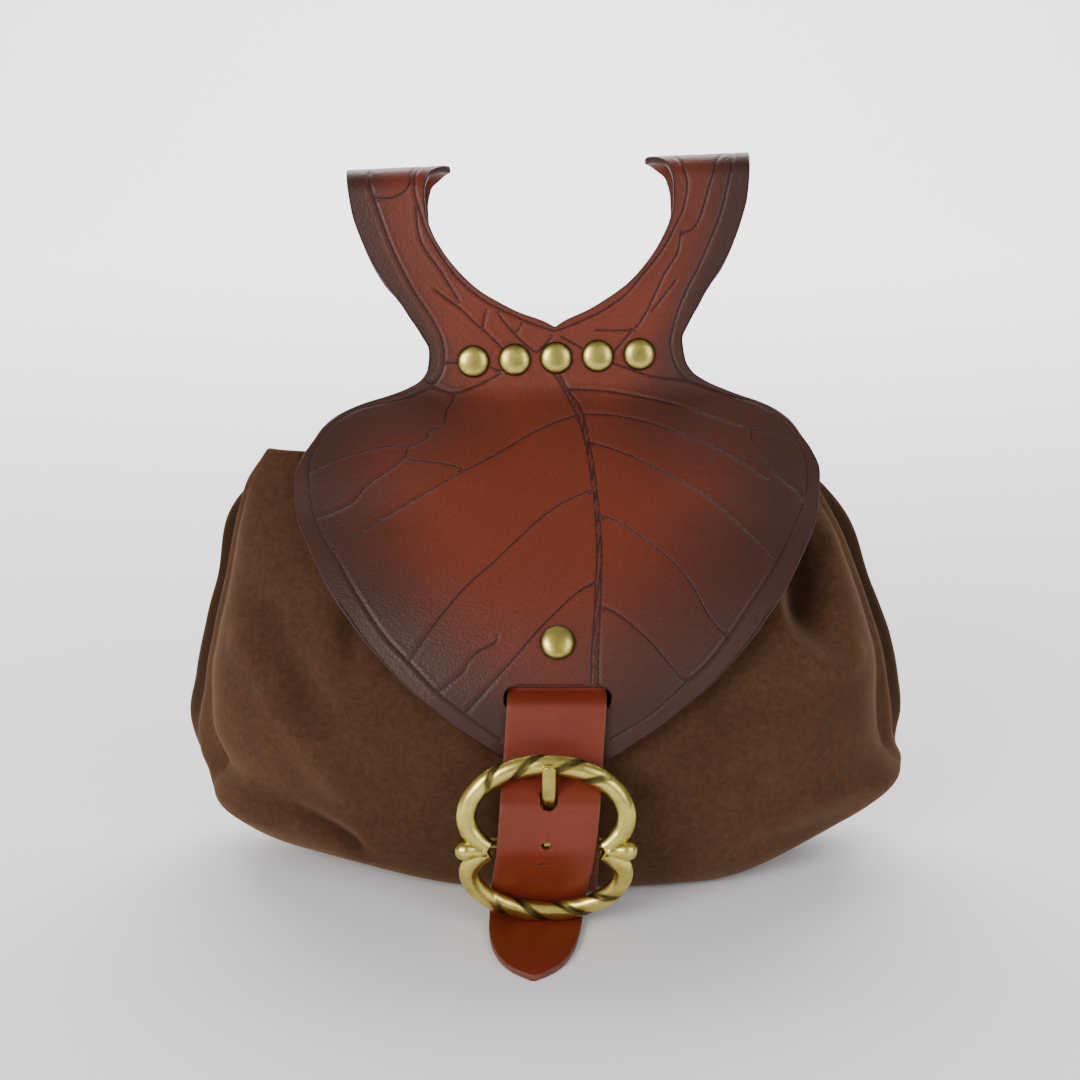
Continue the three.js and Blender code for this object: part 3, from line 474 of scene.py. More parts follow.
def flap_sheet(row_step, columns):
    """Grid of the whole flap in (u, s): points and quads. columns is the number of cells in each half."""
    rows = spaced(shield_half, FLAP_TIP + 0.2, NOTCH, row_step)
    across = np.arange(-columns, columns + 1) / columns
    uv = [sheet_points(shield_half(rows)[:, None] * across, rows)]
    quads = [grid_quads(len(rows), len(across))]
    last = (len(rows) - 1) * len(across)
    total = len(uv[0])
    q = spaced(horn_inner, 0, up_path.total + NOTCH, row_step * HORN_STEP)[1:]
    inner, outer = horn_edges(q)
    j = np.arange(columns)
    for side in (-1, 1):
        first = last + (0 if side < 0 else columns) + np.arange(columns + 1)
        t = np.arange(columns + 1) / columns
        u = side * (inner[:, None] + (t if side > 0 else 1 - t) * (outer - inner)[:, None])
        uv.append(sheet_points(u, NOTCH - q))
        quads.append(np.stack([first[j], first[j + 1], total + j + 1, total + j], -1))
        quads.append(grid_quads(len(q), columns + 1, start=total))
        total += len(q) * (columns + 1)
    return np.vstack(uv), np.vstack(quads)


def with_slot(uv, quads):
    """The sheet with the strap's slot cut out, and only the points that it uses."""
    inside = in_slot(uv)
    quads = quads[~inside[quads].all(1)]
    used, index = np.unique(quads, return_inverse=True)
    return slot_snap(uv, inside)[used], index.reshape(quads.shape)


EDGE_ROUND = 0.55
# the raised lip and the valley of a pressed line: height, where it is and how wide
LIP_HEIGHT, LIP_AT, LIP_WIDTH = 0.07, 1.2, 0.6
PRESS_DEPTH, PRESS_WIDTH = 0.2, 0.65
FRONT_STEP, FRONT_COLUMNS = 0.82, 94
BACK_STEP, BACK_COLUMNS = 1.6, 30
# How far in from the edge the leather is stained dark, and where the stain ends: distance from the rivet row,
# dark and end on the left, dark and end on the right.
BURN = [
    (-100, 2, 22, 2, 22), (-66, 2, 21, 3, 21), (-40, 1, 16, 2, 16), (-20, 0, 14, 1, 16), (-8, 0, 12, 0, 15),
    (4, 0, 14, 0, 19), (12, 1, 30, 2, 36), (24, 3, 46, 6, 52), (45, 6, 52, 9, 58), (65, 6, 47, 10, 60),
    (85, 5, 38, 8, 52), (105, 5, 32, 6, 42), (125, 6, 28, 6, 32), (142, 8, 24, 8, 24),
]


def burnt(uv, edge):
    """The share of dark stain at each point of the flap."""
    u, s = uv[:, 0], uv[:, 1]
    outer = np.where(s < NOTCH, horn_edges(np.maximum(NOTCH - s, 0))[1], shield_half(s)) - np.abs(u)
    edge = outer + (edge - outer) * fade(s, 2, 10)  # the inner edges of the horns stay red
    right = fade(u, -14, 14)
    dark = read(BURN, s, 1) * (1 - right) + read(BURN, s, 3) * right
    end = read(BURN, s, 2) * (1 - right) + read(BURN, s, 4) * right
    clear = fade(edge, dark, end)
    # the middle is a little darker towards the tip and on the horns
    clear = clear * (1 - 0.5 * fade(s, 64, 120)) * (1 - 0.3 * fade(s, -10, -32))
    return 1 - clear


def make_flap():
    parts = Parts()
    uv, quads = with_slot(*flap_sheet(FRONT_STEP, FRONT_COLUMNS))
    side = side_of_lines(uv, [spline(line) for line in VEINS + TWIGS + BORDERS])
    groove = np.abs(side)
    loops = boundary_loops(quads)
    outline = max((np.vstack([uv[loop], uv[loop[:1]]]) for loop in loops), key=len)
    edge = distance_to_line(uv, outline[::3])
    burn = burnt(uv, edge)
    middle, normal = flap_point(uv[:, 0], uv[:, 1]), flap_normal(uv[:, 0], uv[:, 1])
    press = LIP_HEIGHT * np.exp(-(((groove - LIP_AT) / LIP_WIDTH) ** 2))
    press -= PRESS_DEPTH * np.exp(-((groove / PRESS_WIDTH) ** 2))
    skin = middle + normal * (LEATHER / 2 + press)[:, None]
    rims = [rim(middle, normal, loop, LEATHER, EDGE_ROUND) for loop in loops]
    for loop, (ring, _) in zip(loops, rims):
        skin[loop] = ring[: len(loop)]  # the front skin ends on the first ring
    parts.add(skin, quads, groove=groove, side=side, edge=edge, burn=burn, cut=0.0)
    for loop, (ring, ring_quads) in zip(loops, rims):
        rings = len(ring) // len(loop)
        cut = np.repeat(np.minimum(1, np.arange(rings) / 2), len(loop))
        stain = np.tile(burn[loop], rings)
        parts.add(ring, ring_quads[:, ::-1], groove=FAR, side=FAR, edge=0.0, burn=stain, cut=cut)
    # the flesh side
    uv, quads = with_slot(*flap_sheet(BACK_STEP, BACK_COLUMNS))
    middle, normal = flap_point(uv[:, 0], uv[:, 1]), flap_normal(uv[:, 0], uv[:, 1])
    for loop in boundary_loops(quads):
        middle[loop] -= outward_of(middle[loop], normal[loop]) * EDGE_ROUND * 0.9
    skin = middle - normal * LEATHER / 2
    parts.add(skin, quads[:, ::-1], groove=FAR, side=FAR, edge=FAR, burn=0.0, cut=2.0)
    return parts.build("flap_leather")


# ---------------------------------------------------------------- the pouch
# height, half width, front, back, how much farther the left side reaches
POUCH = [
    (0, 80, -38, 18, 0), (3, 94, -43.5, 24, 0), (8, 102, -46.5, 28, 0), (16, 110, -48.5, 31.5, 0),
    (30, 118, -50, 33, 0.8), (42, 121, -50.5, 33, 0), (55, 119, -49.5, 32, -1), (68, 116, -45.5, 30, -0.8),
    (78, 112.5, -40.5, 28.4, 0.5), (90, 108, -32, 26.2, 2), (101, 103.5, -23, 24.4, 4),
    (110, 99.5, -14.5, 23.2, 5.5), (120, 94.5, -3, 22.6, 6.5), (128, 90, 5, 23, 5.5),
    (133, 87.5, 9, 24.1, 5), (147, 84, 9, 27.3, 4), (158, 84, 9, 29.9, 4),
]
POUCH_TOP = 130.0
POUCH_COLUMNS = 600
ROUND = 2.4  # the power of the plan's outline, and how much squarer the back is at the mouth
MOUTH_SQUARE = 1.8
# the back panel's middle rises behind the neck, and its ends drop
MOUTH_RISE, MOUTH_FLAT, MOUTH_FADE, LEFT_DROP, RIGHT_DROP = 28.0, 32.0, 56.0, 8.0, 7.5
LIFT_LEFT, LIFT_RIGHT, LIFT_FADE = 7.0, 9.0, 34.0  # of the pouch's two ends off the ground
HEM = 1.1
BASE_RINGS = (0.8, 0.6, 0.3)
BASE_MIDDLE_Y = -9.0
# height, how far the front panel stays inside the back one (left, right), depth of the pleat (left, right)
PLEAT = [
    (0, 0, 0, 0, 0), (12, 0.5, 0, 1, 0), (18, 3, 0, 2, 0), (24, 9, 0.5, 4, 0), (29, 15, 2, 5, 1),
    (33, 17, 7, 6, 4), (38, 16, 12, 7, 7), (45, 13.5, 14, 8, 8), (55, 11, 13, 8, 8), (67, 9.5, 11, 8, 8),
    (83, 9.5, 10, 8, 8), (96, 9, 9.5, 8, 8), (111, 7.5, 8, 7, 7), (122, 5, 7, 6, 6), (130, 4, 6, 6, 6),
]
# folds of the front panel, as (x, z) from end to end, with width across and height (a valley is negative)
FOLDS = [
    (6, 3.0, [(-96, 79), (-89, 72), (-79, 59), (-70, 46), (-63.5, 38)]),
    (7, -3.2, [(-88, 87), (-80, 73), (-70, 58)]),
    (3.2, -2.4, [(-59.3, 87), (-60.4, 76)]),
    (4.5, 1.3, [(-66.5, 85), (-65, 74)]),
    (3.8, -4.2, [(-108, 38), (-98.5, 31), (-79, 26.5), (-64, 20), (-58, 13)]),
    (9, -11, [(84, 101), (82.5, 86)]),
    (4.6, 4.6, [(71, 91), (77.1, 81.4), (85.7, 74.3), (93.6, 72), (100, 74)]),
    (8, -1.8, [(66, 14), (84, 18), (102, 27)]),
]
FOLD_FULL_SHADE_DEPTH = 6.0  # a valley this deep gets the full painted shade of a fold
# the lean of the flap: distance from the rivet row, degrees from upright
LEAN_AT = [(0, 14), (16, 52), (60, 52), (FLAP_TIP, 20)]


def behind_flap(x, z):
    """The least y at which a point of the pouch stays clear behind the flap."""
    s_at = np.linspace(10, FLAP_TIP, 500)
    z_at = down_path.at(s_at)[1]
    s = np.interp(-z, -z_at, s_at)
    u = x - CENTRE_X
    beyond = np.abs(u) - read(SHIELD_HALF_WIDTH, s, 1)
    clear = (LEATHER / 2 + GAP + 0.6) / np.cos(np.radians(read(LEAN_AT, s, 1)))
    least = flap_point(u, s)[..., 1] + clear - np.maximum(0, beyond - 3) * 1.5
    return np.where((z > z_at[0]) | (z < z_at[-1]), -1e6, least)


def sided(left, table, row, column):
    """The table's column on the left side, and the next one on the right."""
    return np.where(left, curve(table, row, column), curve(table, row, column + 1))


def pouch_base(angle, row):
    """The pouch without its soft folds, and the painted shade in its side creases; angle runs round it from
    +X over the back.
    """
    angle, row = np.broadcast_arrays(np.asarray(angle, float), np.asarray(row, float))
    back = np.sin(angle) > 0
    left = np.cos(angle) < 0
    half_width = curve(POUCH, row, 1) + np.where(left, curve(POUCH, row, 4), 0)
    top = fade(row, 84, 128)
    power = 2 / np.where(back, ROUND + MOUTH_SQUARE * top, ROUND)
    reach_x = np.sign(np.cos(angle)) * np.abs(np.cos(angle)) ** power
    neck = 1 - fade(np.abs(reach_x * half_width - CENTRE_X), MOUTH_FLAT, MOUTH_FADE)
    rise = np.where(back, MOUTH_RISE * neck * fade(row, 92, 130), 0)
    front_y, back_y = curve(POUCH, row, 2), curve(POUCH, row + rise, 3)
    middle = np.minimum((front_y + back_y) / 2 + 4, 16)
    reach_y = np.where(back, back_y - middle, middle - front_y)
    y = middle + np.sign(np.sin(angle)) * reach_y * np.abs(np.sin(angle)) ** power
    # the side pleat: the front panel stays inside, then a valley, then the edge of the back panel
    width = 2.4 + 0.03 * (POUCH_TOP - row)
    behind = (y - middle - 3.5 + 2.5 * top) / width
    inset = sided(left, PLEAT, row, 1) * (1 - fade(behind, -2, 0))
    valley = sided(left, PLEAT, row, 3) * np.exp(-(behind**2))
    # painted shade along the valley of the side pleat, weaker towards the mouth
    crease_shade = np.exp(-(((behind - 0.5) / 0.95) ** 2)) * fade(row, 14, 54)
    crease_shade = crease_shade * (1 - 0.6 * fade(row, 100, 125))
    x = reach_x * (half_width - inset - valley)
    # the ends are lifted off the ground, and the mouth is lower at the sides of the back panel
    lifted = LIFT_LEFT * fade(x, -18, -78) + LIFT_RIGHT * fade(x, 50, 95)
    lifted = lifted * (1 - fade(row, 0, LIFT_FADE))
    at_back = fade(behind, -1, 0.2)
    drop = LEFT_DROP * fade(x, -48, -74) * (0.25 + 0.75 * at_back) + RIGHT_DROP * fade(x, 56, 84)
    z = row + lifted + rise - drop * fade(row, 96, 130)
    return np.stack([x, y, z], -1), crease_shade


def front_of_pouch(x, z):
    """The point of the front panel, before its folds, at this x and height."""
    row = max(z, 0.0)
    reach = float(curve(POUCH, row, 1)) - 1
    front_y, back_y = float(curve(POUCH, row, 2)), float(curve(POUCH, row, 3))
    middle = min((front_y + back_y) / 2 + 4, 16)
    share = min(abs(x) / reach, 1.0)
    return (x, middle - (middle - front_y) * (1 - share**ROUND) ** (1 / ROUND), z)


def folds_at(points):
    """How far the folds lift each point, and how much painted shade it gets in a fold's valley (0 to 1)."""
    height, crease_shade = np.zeros(len(points)), np.zeros(len(points))
    for width, lift, line in FOLDS:
        solid = np.array([front_of_pouch(x, z) for x, z in spline(line, 2.0)])
        share = np.exp(-((distance_to_line(points, solid) / width) ** 2))
        height += lift * share
        # painted shade in the valleys only, more in deeper ones
        crease_shade = np.maximum(crease_shade, min(max(-lift / FOLD_FULL_SHADE_DEPTH, 0), 1) * share)
    return height, crease_shade


def pouch_point(angle, row):
    """A grid of points: angles run along the rows of the arrays, rows of the pouch down them."""
    base, crease_shade = pouch_base(angle, row)
    across = across_loop(base, 1)
    out = unit(np.stack([across[..., 1], -across[..., 0], 0 * across[..., 0]], -1))
    lift, fold_shade = folds_at(base.reshape(-1, 3))
    shown = fade(row, 4, 16) * (np.sin(angle) < 0.1)
    soft = base + out * (lift.reshape(row.shape) * shown)[..., None]
    least = behind_flap(soft[..., 0], soft[..., 2])
    soft[..., 1] = np.where((np.sin(angle) < 0) & (row > 6), np.maximum(soft[..., 1], least), soft[..., 1])
    # the painted shade of the pleats and of the fold valleys
    return soft, np.maximum(crease_shade, fold_shade.reshape(row.shape) * shown)


def make_pouch():
    even = 2 * math.pi * np.arange(POUCH_COLUMNS) / POUCH_COLUMNS - math.pi
    angles = even - 0.28 * np.sin(2 * even)  # closer together at the two ends
    rows = np.concatenate([np.linspace(0, 8, 9)[:-1], np.linspace(8, POUCH_TOP, 104)])
    outer, crease_shade = pouch_point(*np.meshgrid(angles, rows))
    up = np.gradient(outer, axis=0)
    normal = unit(np.cross(across_loop(outer, 1), up))
    points = [outer.reshape(-1, 3)]
    faces = [grid_quads(len(rows), POUCH_COLUMNS, closed=True)]
    total = len(points[0])
    first = np.arange(POUCH_COLUMNS)
    # rounded hem and the inner face
    top, n, lift = outer[-1], normal[-1], unit(up[-1])
    turns = np.linspace(0.5, math.pi, 5)
    rings = [top - n * HEM * (1 - math.cos(t)) + lift * HEM * math.sin(t) for t in turns]
    rings += [outer[i] - normal[i] * SUEDE for i in np.arange(len(rows) - 2, 3, -5)]
    faces.append(bridge(total - POUCH_COLUMNS + first, total + first))
    faces.append(grid_quads(len(rings), POUCH_COLUMNS, closed=True, start=total))
    points += rings
    total += len(rings) * POUCH_COLUMNS
    # base
    before = first
    for share in BASE_RINGS:
        points.append(outer[0] * share + [0, BASE_MIDDLE_Y * (1 - share), 0])
        faces.append(bridge(before, total + first)[:, [1, 0, 3, 2]])
        before = total + first
        total += POUCH_COLUMNS
    points.append(np.array([[0, BASE_MIDDLE_Y, 0.0]]))
    faces.append(fan(before, total)[:, [1, 0, 2]])
    # painted shade of the creases and folds, as a point value that darkens the suede
    dark = np.zeros(total + 1)
    dark[: crease_shade.size] = crease_shade.reshape(-1)
    return make_object("pouch_suede", np.vstack(points), faces, {"crease_shade": dark})


# ---------------------------------------------------------------- straps
def ribbon(name, path, plan, thickness, step=0.7, round_r=0.5):
    """A strap along a side-view path with rounded cut edges; plan(length) gives middle x and half width."""
    count = max(8, int(path.total / step))
    length = np.linspace(0, path.total, count + 1)
    y, z = path.at(length)
    dy, dz = np.gradient(y), np.gradient(z)
    norm = np.hypot(dy, dz)
    ny, nz = -dz / norm, dy / norm
    middle, half = plan(length)
    # round the section: share of the half width, height of a flat point or None, angle of a rounded point
    section = []
    for side in (1, -1):
        section += [(t, side * thickness / 2, 0) for t in np.linspace(-side, side, 29)]
        section += [(side, None, math.radians(angle) * side) for angle in (60, 30, 0, -30, -60)]
    points, cut = [], []
    for t, lift, angle in section:
        if lift is None:
            x = middle + t * (half - round_r + round_r * math.cos(angle))
            h = (thickness / 2 - round_r) * np.sign(math.sin(angle)) + round_r * math.sin(angle)
            cut.append(1.0)
        else:
            x, h = middle + t * (half - round_r), lift
            cut.append(0.0)
        points.append(np.stack([x + 0 * y, y + ny * h, z + nz * h], -1))
    grid = np.stack(points, 1)
    total = grid.shape[0] * grid.shape[1]
    ends = np.arange(total).reshape(grid.shape[:2])[[0, -1]]
    faces = [grid_quads(*grid.shape[:2], closed=True), fan(ends[0], total)[:, ::-1], fan(ends[1], total + 1)]
    points = np.vstack([grid.reshape(-1, 3), grid[0].mean(0), grid[-1].mean(0)])
    return make_object(name, points, faces, {"cut": [*np.tile(cut, len(length)), 1.0, 1.0]})


# the strap along the flap: distance from the rivet row, offset in front of the leather, bend radius
STRAP_ON_FLAP = [
    (93, -2.5, 0), (100, -2.5, 20), (107.5, -2.5, 20), (115.8, -2.65, 1.5), (119.8, 2.5, 1.8),
    (133, 2.6, 20),
]
# and on from there: y, z, bend radius
STRAP_FREE = [
    (-57.7, 49.6, 3), (-67.5, 41.4, 4.5), (-67.5, 28, 10), (-58, 6.5, 5), (-56.2, 1.1, 2.4),
    (-93.4, 1.1, 0),
]
# distance from the tip, middle x, half width
STRAP_PLAN = [
    (0, -3.6, 1), (1.4, -3.6, 3), (5, -3.7, 6.9), (11, -3.7, 10.4), (20, -3.6, 12.9), (30, -3.2, 14),
    (44, -2.4, 14.5), (58, -0.8, 14.6), (72, 0.6, 14.7), (86, 1.6, 14.8), (100, 2.5, 14.8),
    (112, 3.2, 14.8), (140, 3.4, 14.8),
]
BAR = (-62.0, 28.0)
BAR_RADIUS = 1.8
PRONG_X = 0.8
# holes of the strap: the one for the prong (leaning, and drawn out), the spare one and a pressed mark
PRONG_HOLE, PRONG_HOLE_AXIS = (PRONG_X, -65.2, 43.4), (0, -0.66, 0.75)
PRONG_HOLE_RADIUS, PRONG_HOLE_STRETCH = 2.6, 1.1
SPARE_HOLE, SPARE_HOLE_RADIUS = (PRONG_X - 0.7, -67.3, 29.8), 1.5
MARK_X, MARK_Z, MARK_RADIUS, MARK_HALF = PRONG_X - 1.7, 22.6, 0.24, 1.6
CUT_REACH = 3.0
CHAPE_X, CHAPE_HALF = 0.9, 14.9
# the short strap: up behind the long one (y, z, bend radius), round the bar, and the end of its return (y, z)
CHAPE_RISE = [(-42.6, 1.25, 0), (-47.8, 4.4, 5), (-53.5, 12.4, 10)]
CHAPE_END = [(-60.5, 19.5), (-58.2, 15.6)]
CHAPE_HOLE, CHAPE_HOLE_HALF = 5, 2.6  # for the prong


def on_flap(s, offset, radius):
    p = flap_point(0, s) + flap_normal(0, s) * offset
    return (p[1], p[2], radius)


strap_path = Path(rounded([on_flap(*row) for row in STRAP_ON_FLAP] + STRAP_FREE))


def cut_with(target, cutters):
    """Cuts holes with closed meshes, which are then removed."""
    for cutter in cutters:
        step = target.modifiers.new("hole", "BOOLEAN")
        step.operation = "DIFFERENCE"
        step.solver = "EXACT"
        step.object = cutter
    bpy.context.view_layer.update()
    made = bpy.data.meshes.new_from_object(target.evaluated_get(bpy.context.evaluated_depsgraph_get()))
    target.modifiers.clear()
    target.data = made
    for cutter in cutters:
        bpy.data.objects.remove(cutter)


def cylinder(centre, axis, radius, reach, stretch=0.0, segments=32):
    """A closed cylinder, drawn out sideways by stretch along the direction across X."""
    axis = unit(np.array(axis, float))
    side = np.array([1.0, 0, 0]) if abs(axis[0]) < 0.9 else np.array([0, 1.0, 0])
    other = np.cross(axis, side)
    ring = []
    for k in range(segments):
        t = 2 * math.pi * k / segments
        shift = math.copysign(stretch, math.sin(t))
        ring.append(side * radius * math.cos(t) + other * (radius * math.sin(t) + shift))
    ring = np.array(ring)
    points = np.vstack([ring - axis * reach, ring + axis * reach]) + np.array(centre)
    ends = [np.arange(segments)[None, ::-1], np.arange(segments, 2 * segments)[None]]
    return make_object("cutter", points, [grid_quads(2, segments, closed=True), *ends])


def make_strap():
    def plan(length):
        left = strap_path.total - length
        return curve(STRAP_PLAN, left, 1), curve(STRAP_PLAN, left, 2)

    strap = ribbon("closure_strap_leather", strap_path, plan, STRAP)
    y, z = strap_path.at(np.linspace(0, strap_path.total, 900))
    low = np.argmin(np.abs(z - MARK_Z) + 100 * (y > -60))  # on the part in front of the bar
    mark = (MARK_X, y[low] - STRAP / 2, z[low])
    cut_with(strap, [
        cylinder(PRONG_HOLE, PRONG_HOLE_AXIS, PRONG_HOLE_RADIUS, CUT_REACH, PRONG_HOLE_STRETCH),
        cylinder(SPARE_HOLE, (0, 1, 0), SPARE_HOLE_RADIUS, CUT_REACH),
        cylinder(mark, (1, 0, 0), MARK_RADIUS, MARK_HALF),
    ])
    return strap


def round_bar(thickness, start, end, count):
    """The middle of what is bent round the bar, as (y, z) from one angle to another in degrees."""
    reach = BAR_RADIUS + GAP + thickness / 2
    angles = np.radians(np.linspace(start, end, count))
    return [(BAR[0] + reach * math.cos(t), BAR[1] + reach * math.sin(t)) for t in angles]


def make_chape():
    def plan(length):
        return CHAPE_X + 0 * length, CHAPE_HALF + 0 * length

    bend = round_bar(CHAPE, -28, 208, 40)
    rise = rounded([*CHAPE_RISE, (*bend[0], 0)])[:-1]
    chape = ribbon("buckle_strap_leather", Path([*rise, *bend, *CHAPE_END]), plan, CHAPE)
    cut_with(chape, [cylinder((PRONG_X, *BAR), (1, 0, 0), CHAPE_HOLE, CHAPE_HOLE_HALF)])
    return chape


# ---------------------------------------------------------------- buckle and rivets
FRAME_Y, FRAME_Z, UPPER_LEAN, LOWER_LEAN, TUBE = -67.3, 28.0, 7.5, 11.4, 2.5
# the upper and the lower loop: half width, height of the centre, reach over and under it, where it starts
# (degrees from the side), up or down, where the twist begins and ends, and its turns
LOOPS = [(23.5, 10.3, 16, 14, -43, 1, 0.24, 0.74, 4.6), (22.9, -8, 15.2, 11, -43, -1, 0.28, 0.8, 4.2)]
TUBE_WIDE = 1.16
TWIST_FADE, END_FADE = 0.1, 0.07  # over these shares of a loop's length
END_THINNER, TWIST_THICKER, TWIST_VALLEY = 0.16, 0.04, 0.19  # against the tube's own radius
# turned shapes, as (radius, distance along the axis)
KNOB = [
    (0.1, 17.3), (2.3, 17.35), (2.35, 19), (2.4, 20.5), (2.65, 21.6), (2.9, 22.6), (3.05, 23.4), (3, 24.2),
    (2.75, 25.2), (2.4, 26), (1.8, 26.5), (1.2, 26.8), (0.6, 26.95), (0.02, 27),
]
LUG_X = 19.2  # the lugs carry the bar
LUG = [(0.01, FRAME_Y), (1.9, FRAME_Y), (1.9, BAR[0] + 1.6), (0.01, BAR[0] + 1.6)]
BAR_SHAPE = [(0.01, -20.6), (BAR_RADIUS, -20.6), (BAR_RADIUS, 20.6), (0.01, 20.6)]


def frame_point(x, rise):
    lean = np.radians(np.where(rise > 0, UPPER_LEAN, LOWER_LEAN))
    away = np.abs(rise)
    return np.stack([x, FRAME_Y + away * np.sin(lean), FRAME_Z + np.sign(rise) * away * np.cos(lean)], -1)


def frame_loop(half, rise, over, under, start, side, twist_from, twist_to, turns):
    """A tube that is twisted like a two-strand rope over part of its length."""
    segments, around = 420, 40
    angle = np.radians(180 - start - (180 - 2 * start) * np.arange(segments + 1) / segments)
    height = np.where(np.sin(angle) > 0, over, under)
    centres = frame_point(half * np.cos(angle), rise + side * height * np.sin(angle))
    lean = math.radians(UPPER_LEAN if side > 0 else -LOWER_LEAN)
    flat = np.array([0, -math.cos(lean), math.sin(lean)])
    tangent = unit(np.gradient(centres, axis=0))
    across = unit(np.cross(tangent, flat))
    t = (np.arange(segments + 1) / segments)[:, None]
    turn = 2 * math.pi * np.arange(around) / around
    twisted = fade(t, twist_from, twist_from + TWIST_FADE) * fade(t, twist_to, twist_to - TWIST_FADE)
    valley = 1 - np.abs(np.cos(turn[None, :] - side * 2 * math.pi * turns * t))
    end = fade(np.minimum(t, 1 - t), END_FADE, 0)  # where it runs into the knobs
    swell = twisted * (TWIST_THICKER - TWIST_VALLEY * valley**1.8)
    radius = TUBE * (1.04 - END_THINNER * end + swell)
    wide, deep = TUBE_WIDE * radius * np.cos(turn), radius * np.sin(turn)
    points = centres[:, None] + across[:, None] * wide[..., None] + flat * deep[..., None]
    hollow = fade(valley, 0, 0.8) * twisted
    return points.reshape(-1, 3), grid_quads(segments + 1, around, closed=True)[:, ::-1], hollow.reshape(-1)


def lathe(profile, segments=40):
    """A turned shape about Y from (radius, along) rows."""
    p = np.asarray(profile, float)
    t = 2 * math.pi * np.arange(segments) / segments
    x = p[:, :1] * np.cos(t)
    z = p[:, :1] * np.sin(t)
    y = np.repeat(p[:, 1:], segments, 1)
    return np.stack([x, y, z], -1).reshape(-1, 3), grid_quads(len(p), segments, closed=True)


def make_frame():
    parts = Parts()
    for shape in LOOPS:
        points, faces, hollow = frame_loop(*shape)
        parts.add(points, faces, hollow=hollow)
    for side in (-1, 1):
        points, faces = lathe(KNOB)
        points = points[:, [1, 0, 2]] * [side, 1, 1] + [0, FRAME_Y, FRAME_Z]
        parts.add(points, faces if side > 0 else faces[:, ::-1], hollow=0.25)
        points, faces = lathe(LUG)
        parts.add(points + [side * LUG_X, 0, FRAME_Z], faces[:, ::-1], hollow=0.6)
    points, faces = lathe(BAR_SHAPE)
    parts.add(points[:, [1, 0, 2]] + [0, *BAR], faces, hollow=0.5)
    return parts.build("buckle_frame_brass")


PRONG = 1.8  # thickness
PRONG_TIP = [(BAR[0] - 0.4, BAR[1] + BAR_RADIUS + GAP + PRONG / 2), (-63.3, 35), (-67.9, 55.4)]
PRONG_HALF, PRONG_ROUND = 2.1, 1.6


def make_prong():
    path = Path(round_bar(PRONG, -215, 65, 50) + PRONG_TIP)

    def plan(length):
        left = path.total - length
        narrow = ((PRONG_ROUND - left) / (PRONG_ROUND + 0.3)) ** 2 * (left < PRONG_ROUND)
        return PRONG_X + 0 * length, PRONG_HALF * np.sqrt(np.clip(1 - narrow, 0.05, 1))

    return ribbon("buckle_prong_brass", path, plan, PRONG, step=0.3, round_r=0.7)


# the cap and the foot of a rivet, as (radius, height over the leather)
RIVET_DOME = [
    (1.6, 0), (4.4, 0), (4.95, 0.05), (5.15, 0.25), (5.2, 0.5), (5.1, 0.8), (4.85, 1.15), (4.4, 1.5),
    (3.7, 1.85), (2.8, 2.1), (1.9, 2.22), (1, 2.28), (0.02, 2.3),
]
RIVET_FOOT = [(0.02, -1.1), (3.9, -1.1), (4.3, -0.85), (4.4, -0.5), (4.4, 0), (1.6, 0)]
RIVET_LIFT = 0.06
CAP_DARK, RIM_DARK, RIM_FROM, RIM_TO = 0.48, 0.45, 4.0, 5.0  # the rim of the cap is darker
RIVET_STEP, RIVET_FLAP_AT = 13.35, 101.3


def make_rivet(name, u, s, behind):
    front, back = LEATHER / 2 + RIVET_LIFT, -(behind + GAP)
    profile = [(r, h + back) for r, h in RIVET_FOOT] + [(r, h + front) for r, h in RIVET_DOME]
    points, faces = lathe(profile, 48)
    n = flap_normal(u, s)
    side = unit(np.cross(n, [0, 0, 1.0]))
    other = np.cross(side, n)
    placed = points[:, :1] * side + points[:, 1:2] * n + points[:, 2:] * other + flap_point(u, s)
    radius = np.hypot(points[:, 0], points[:, 2])
    hollow = CAP_DARK + fade(radius, RIM_FROM, RIM_TO) * RIM_DARK
    return make_object(name, placed, [faces], {"hollow": hollow})


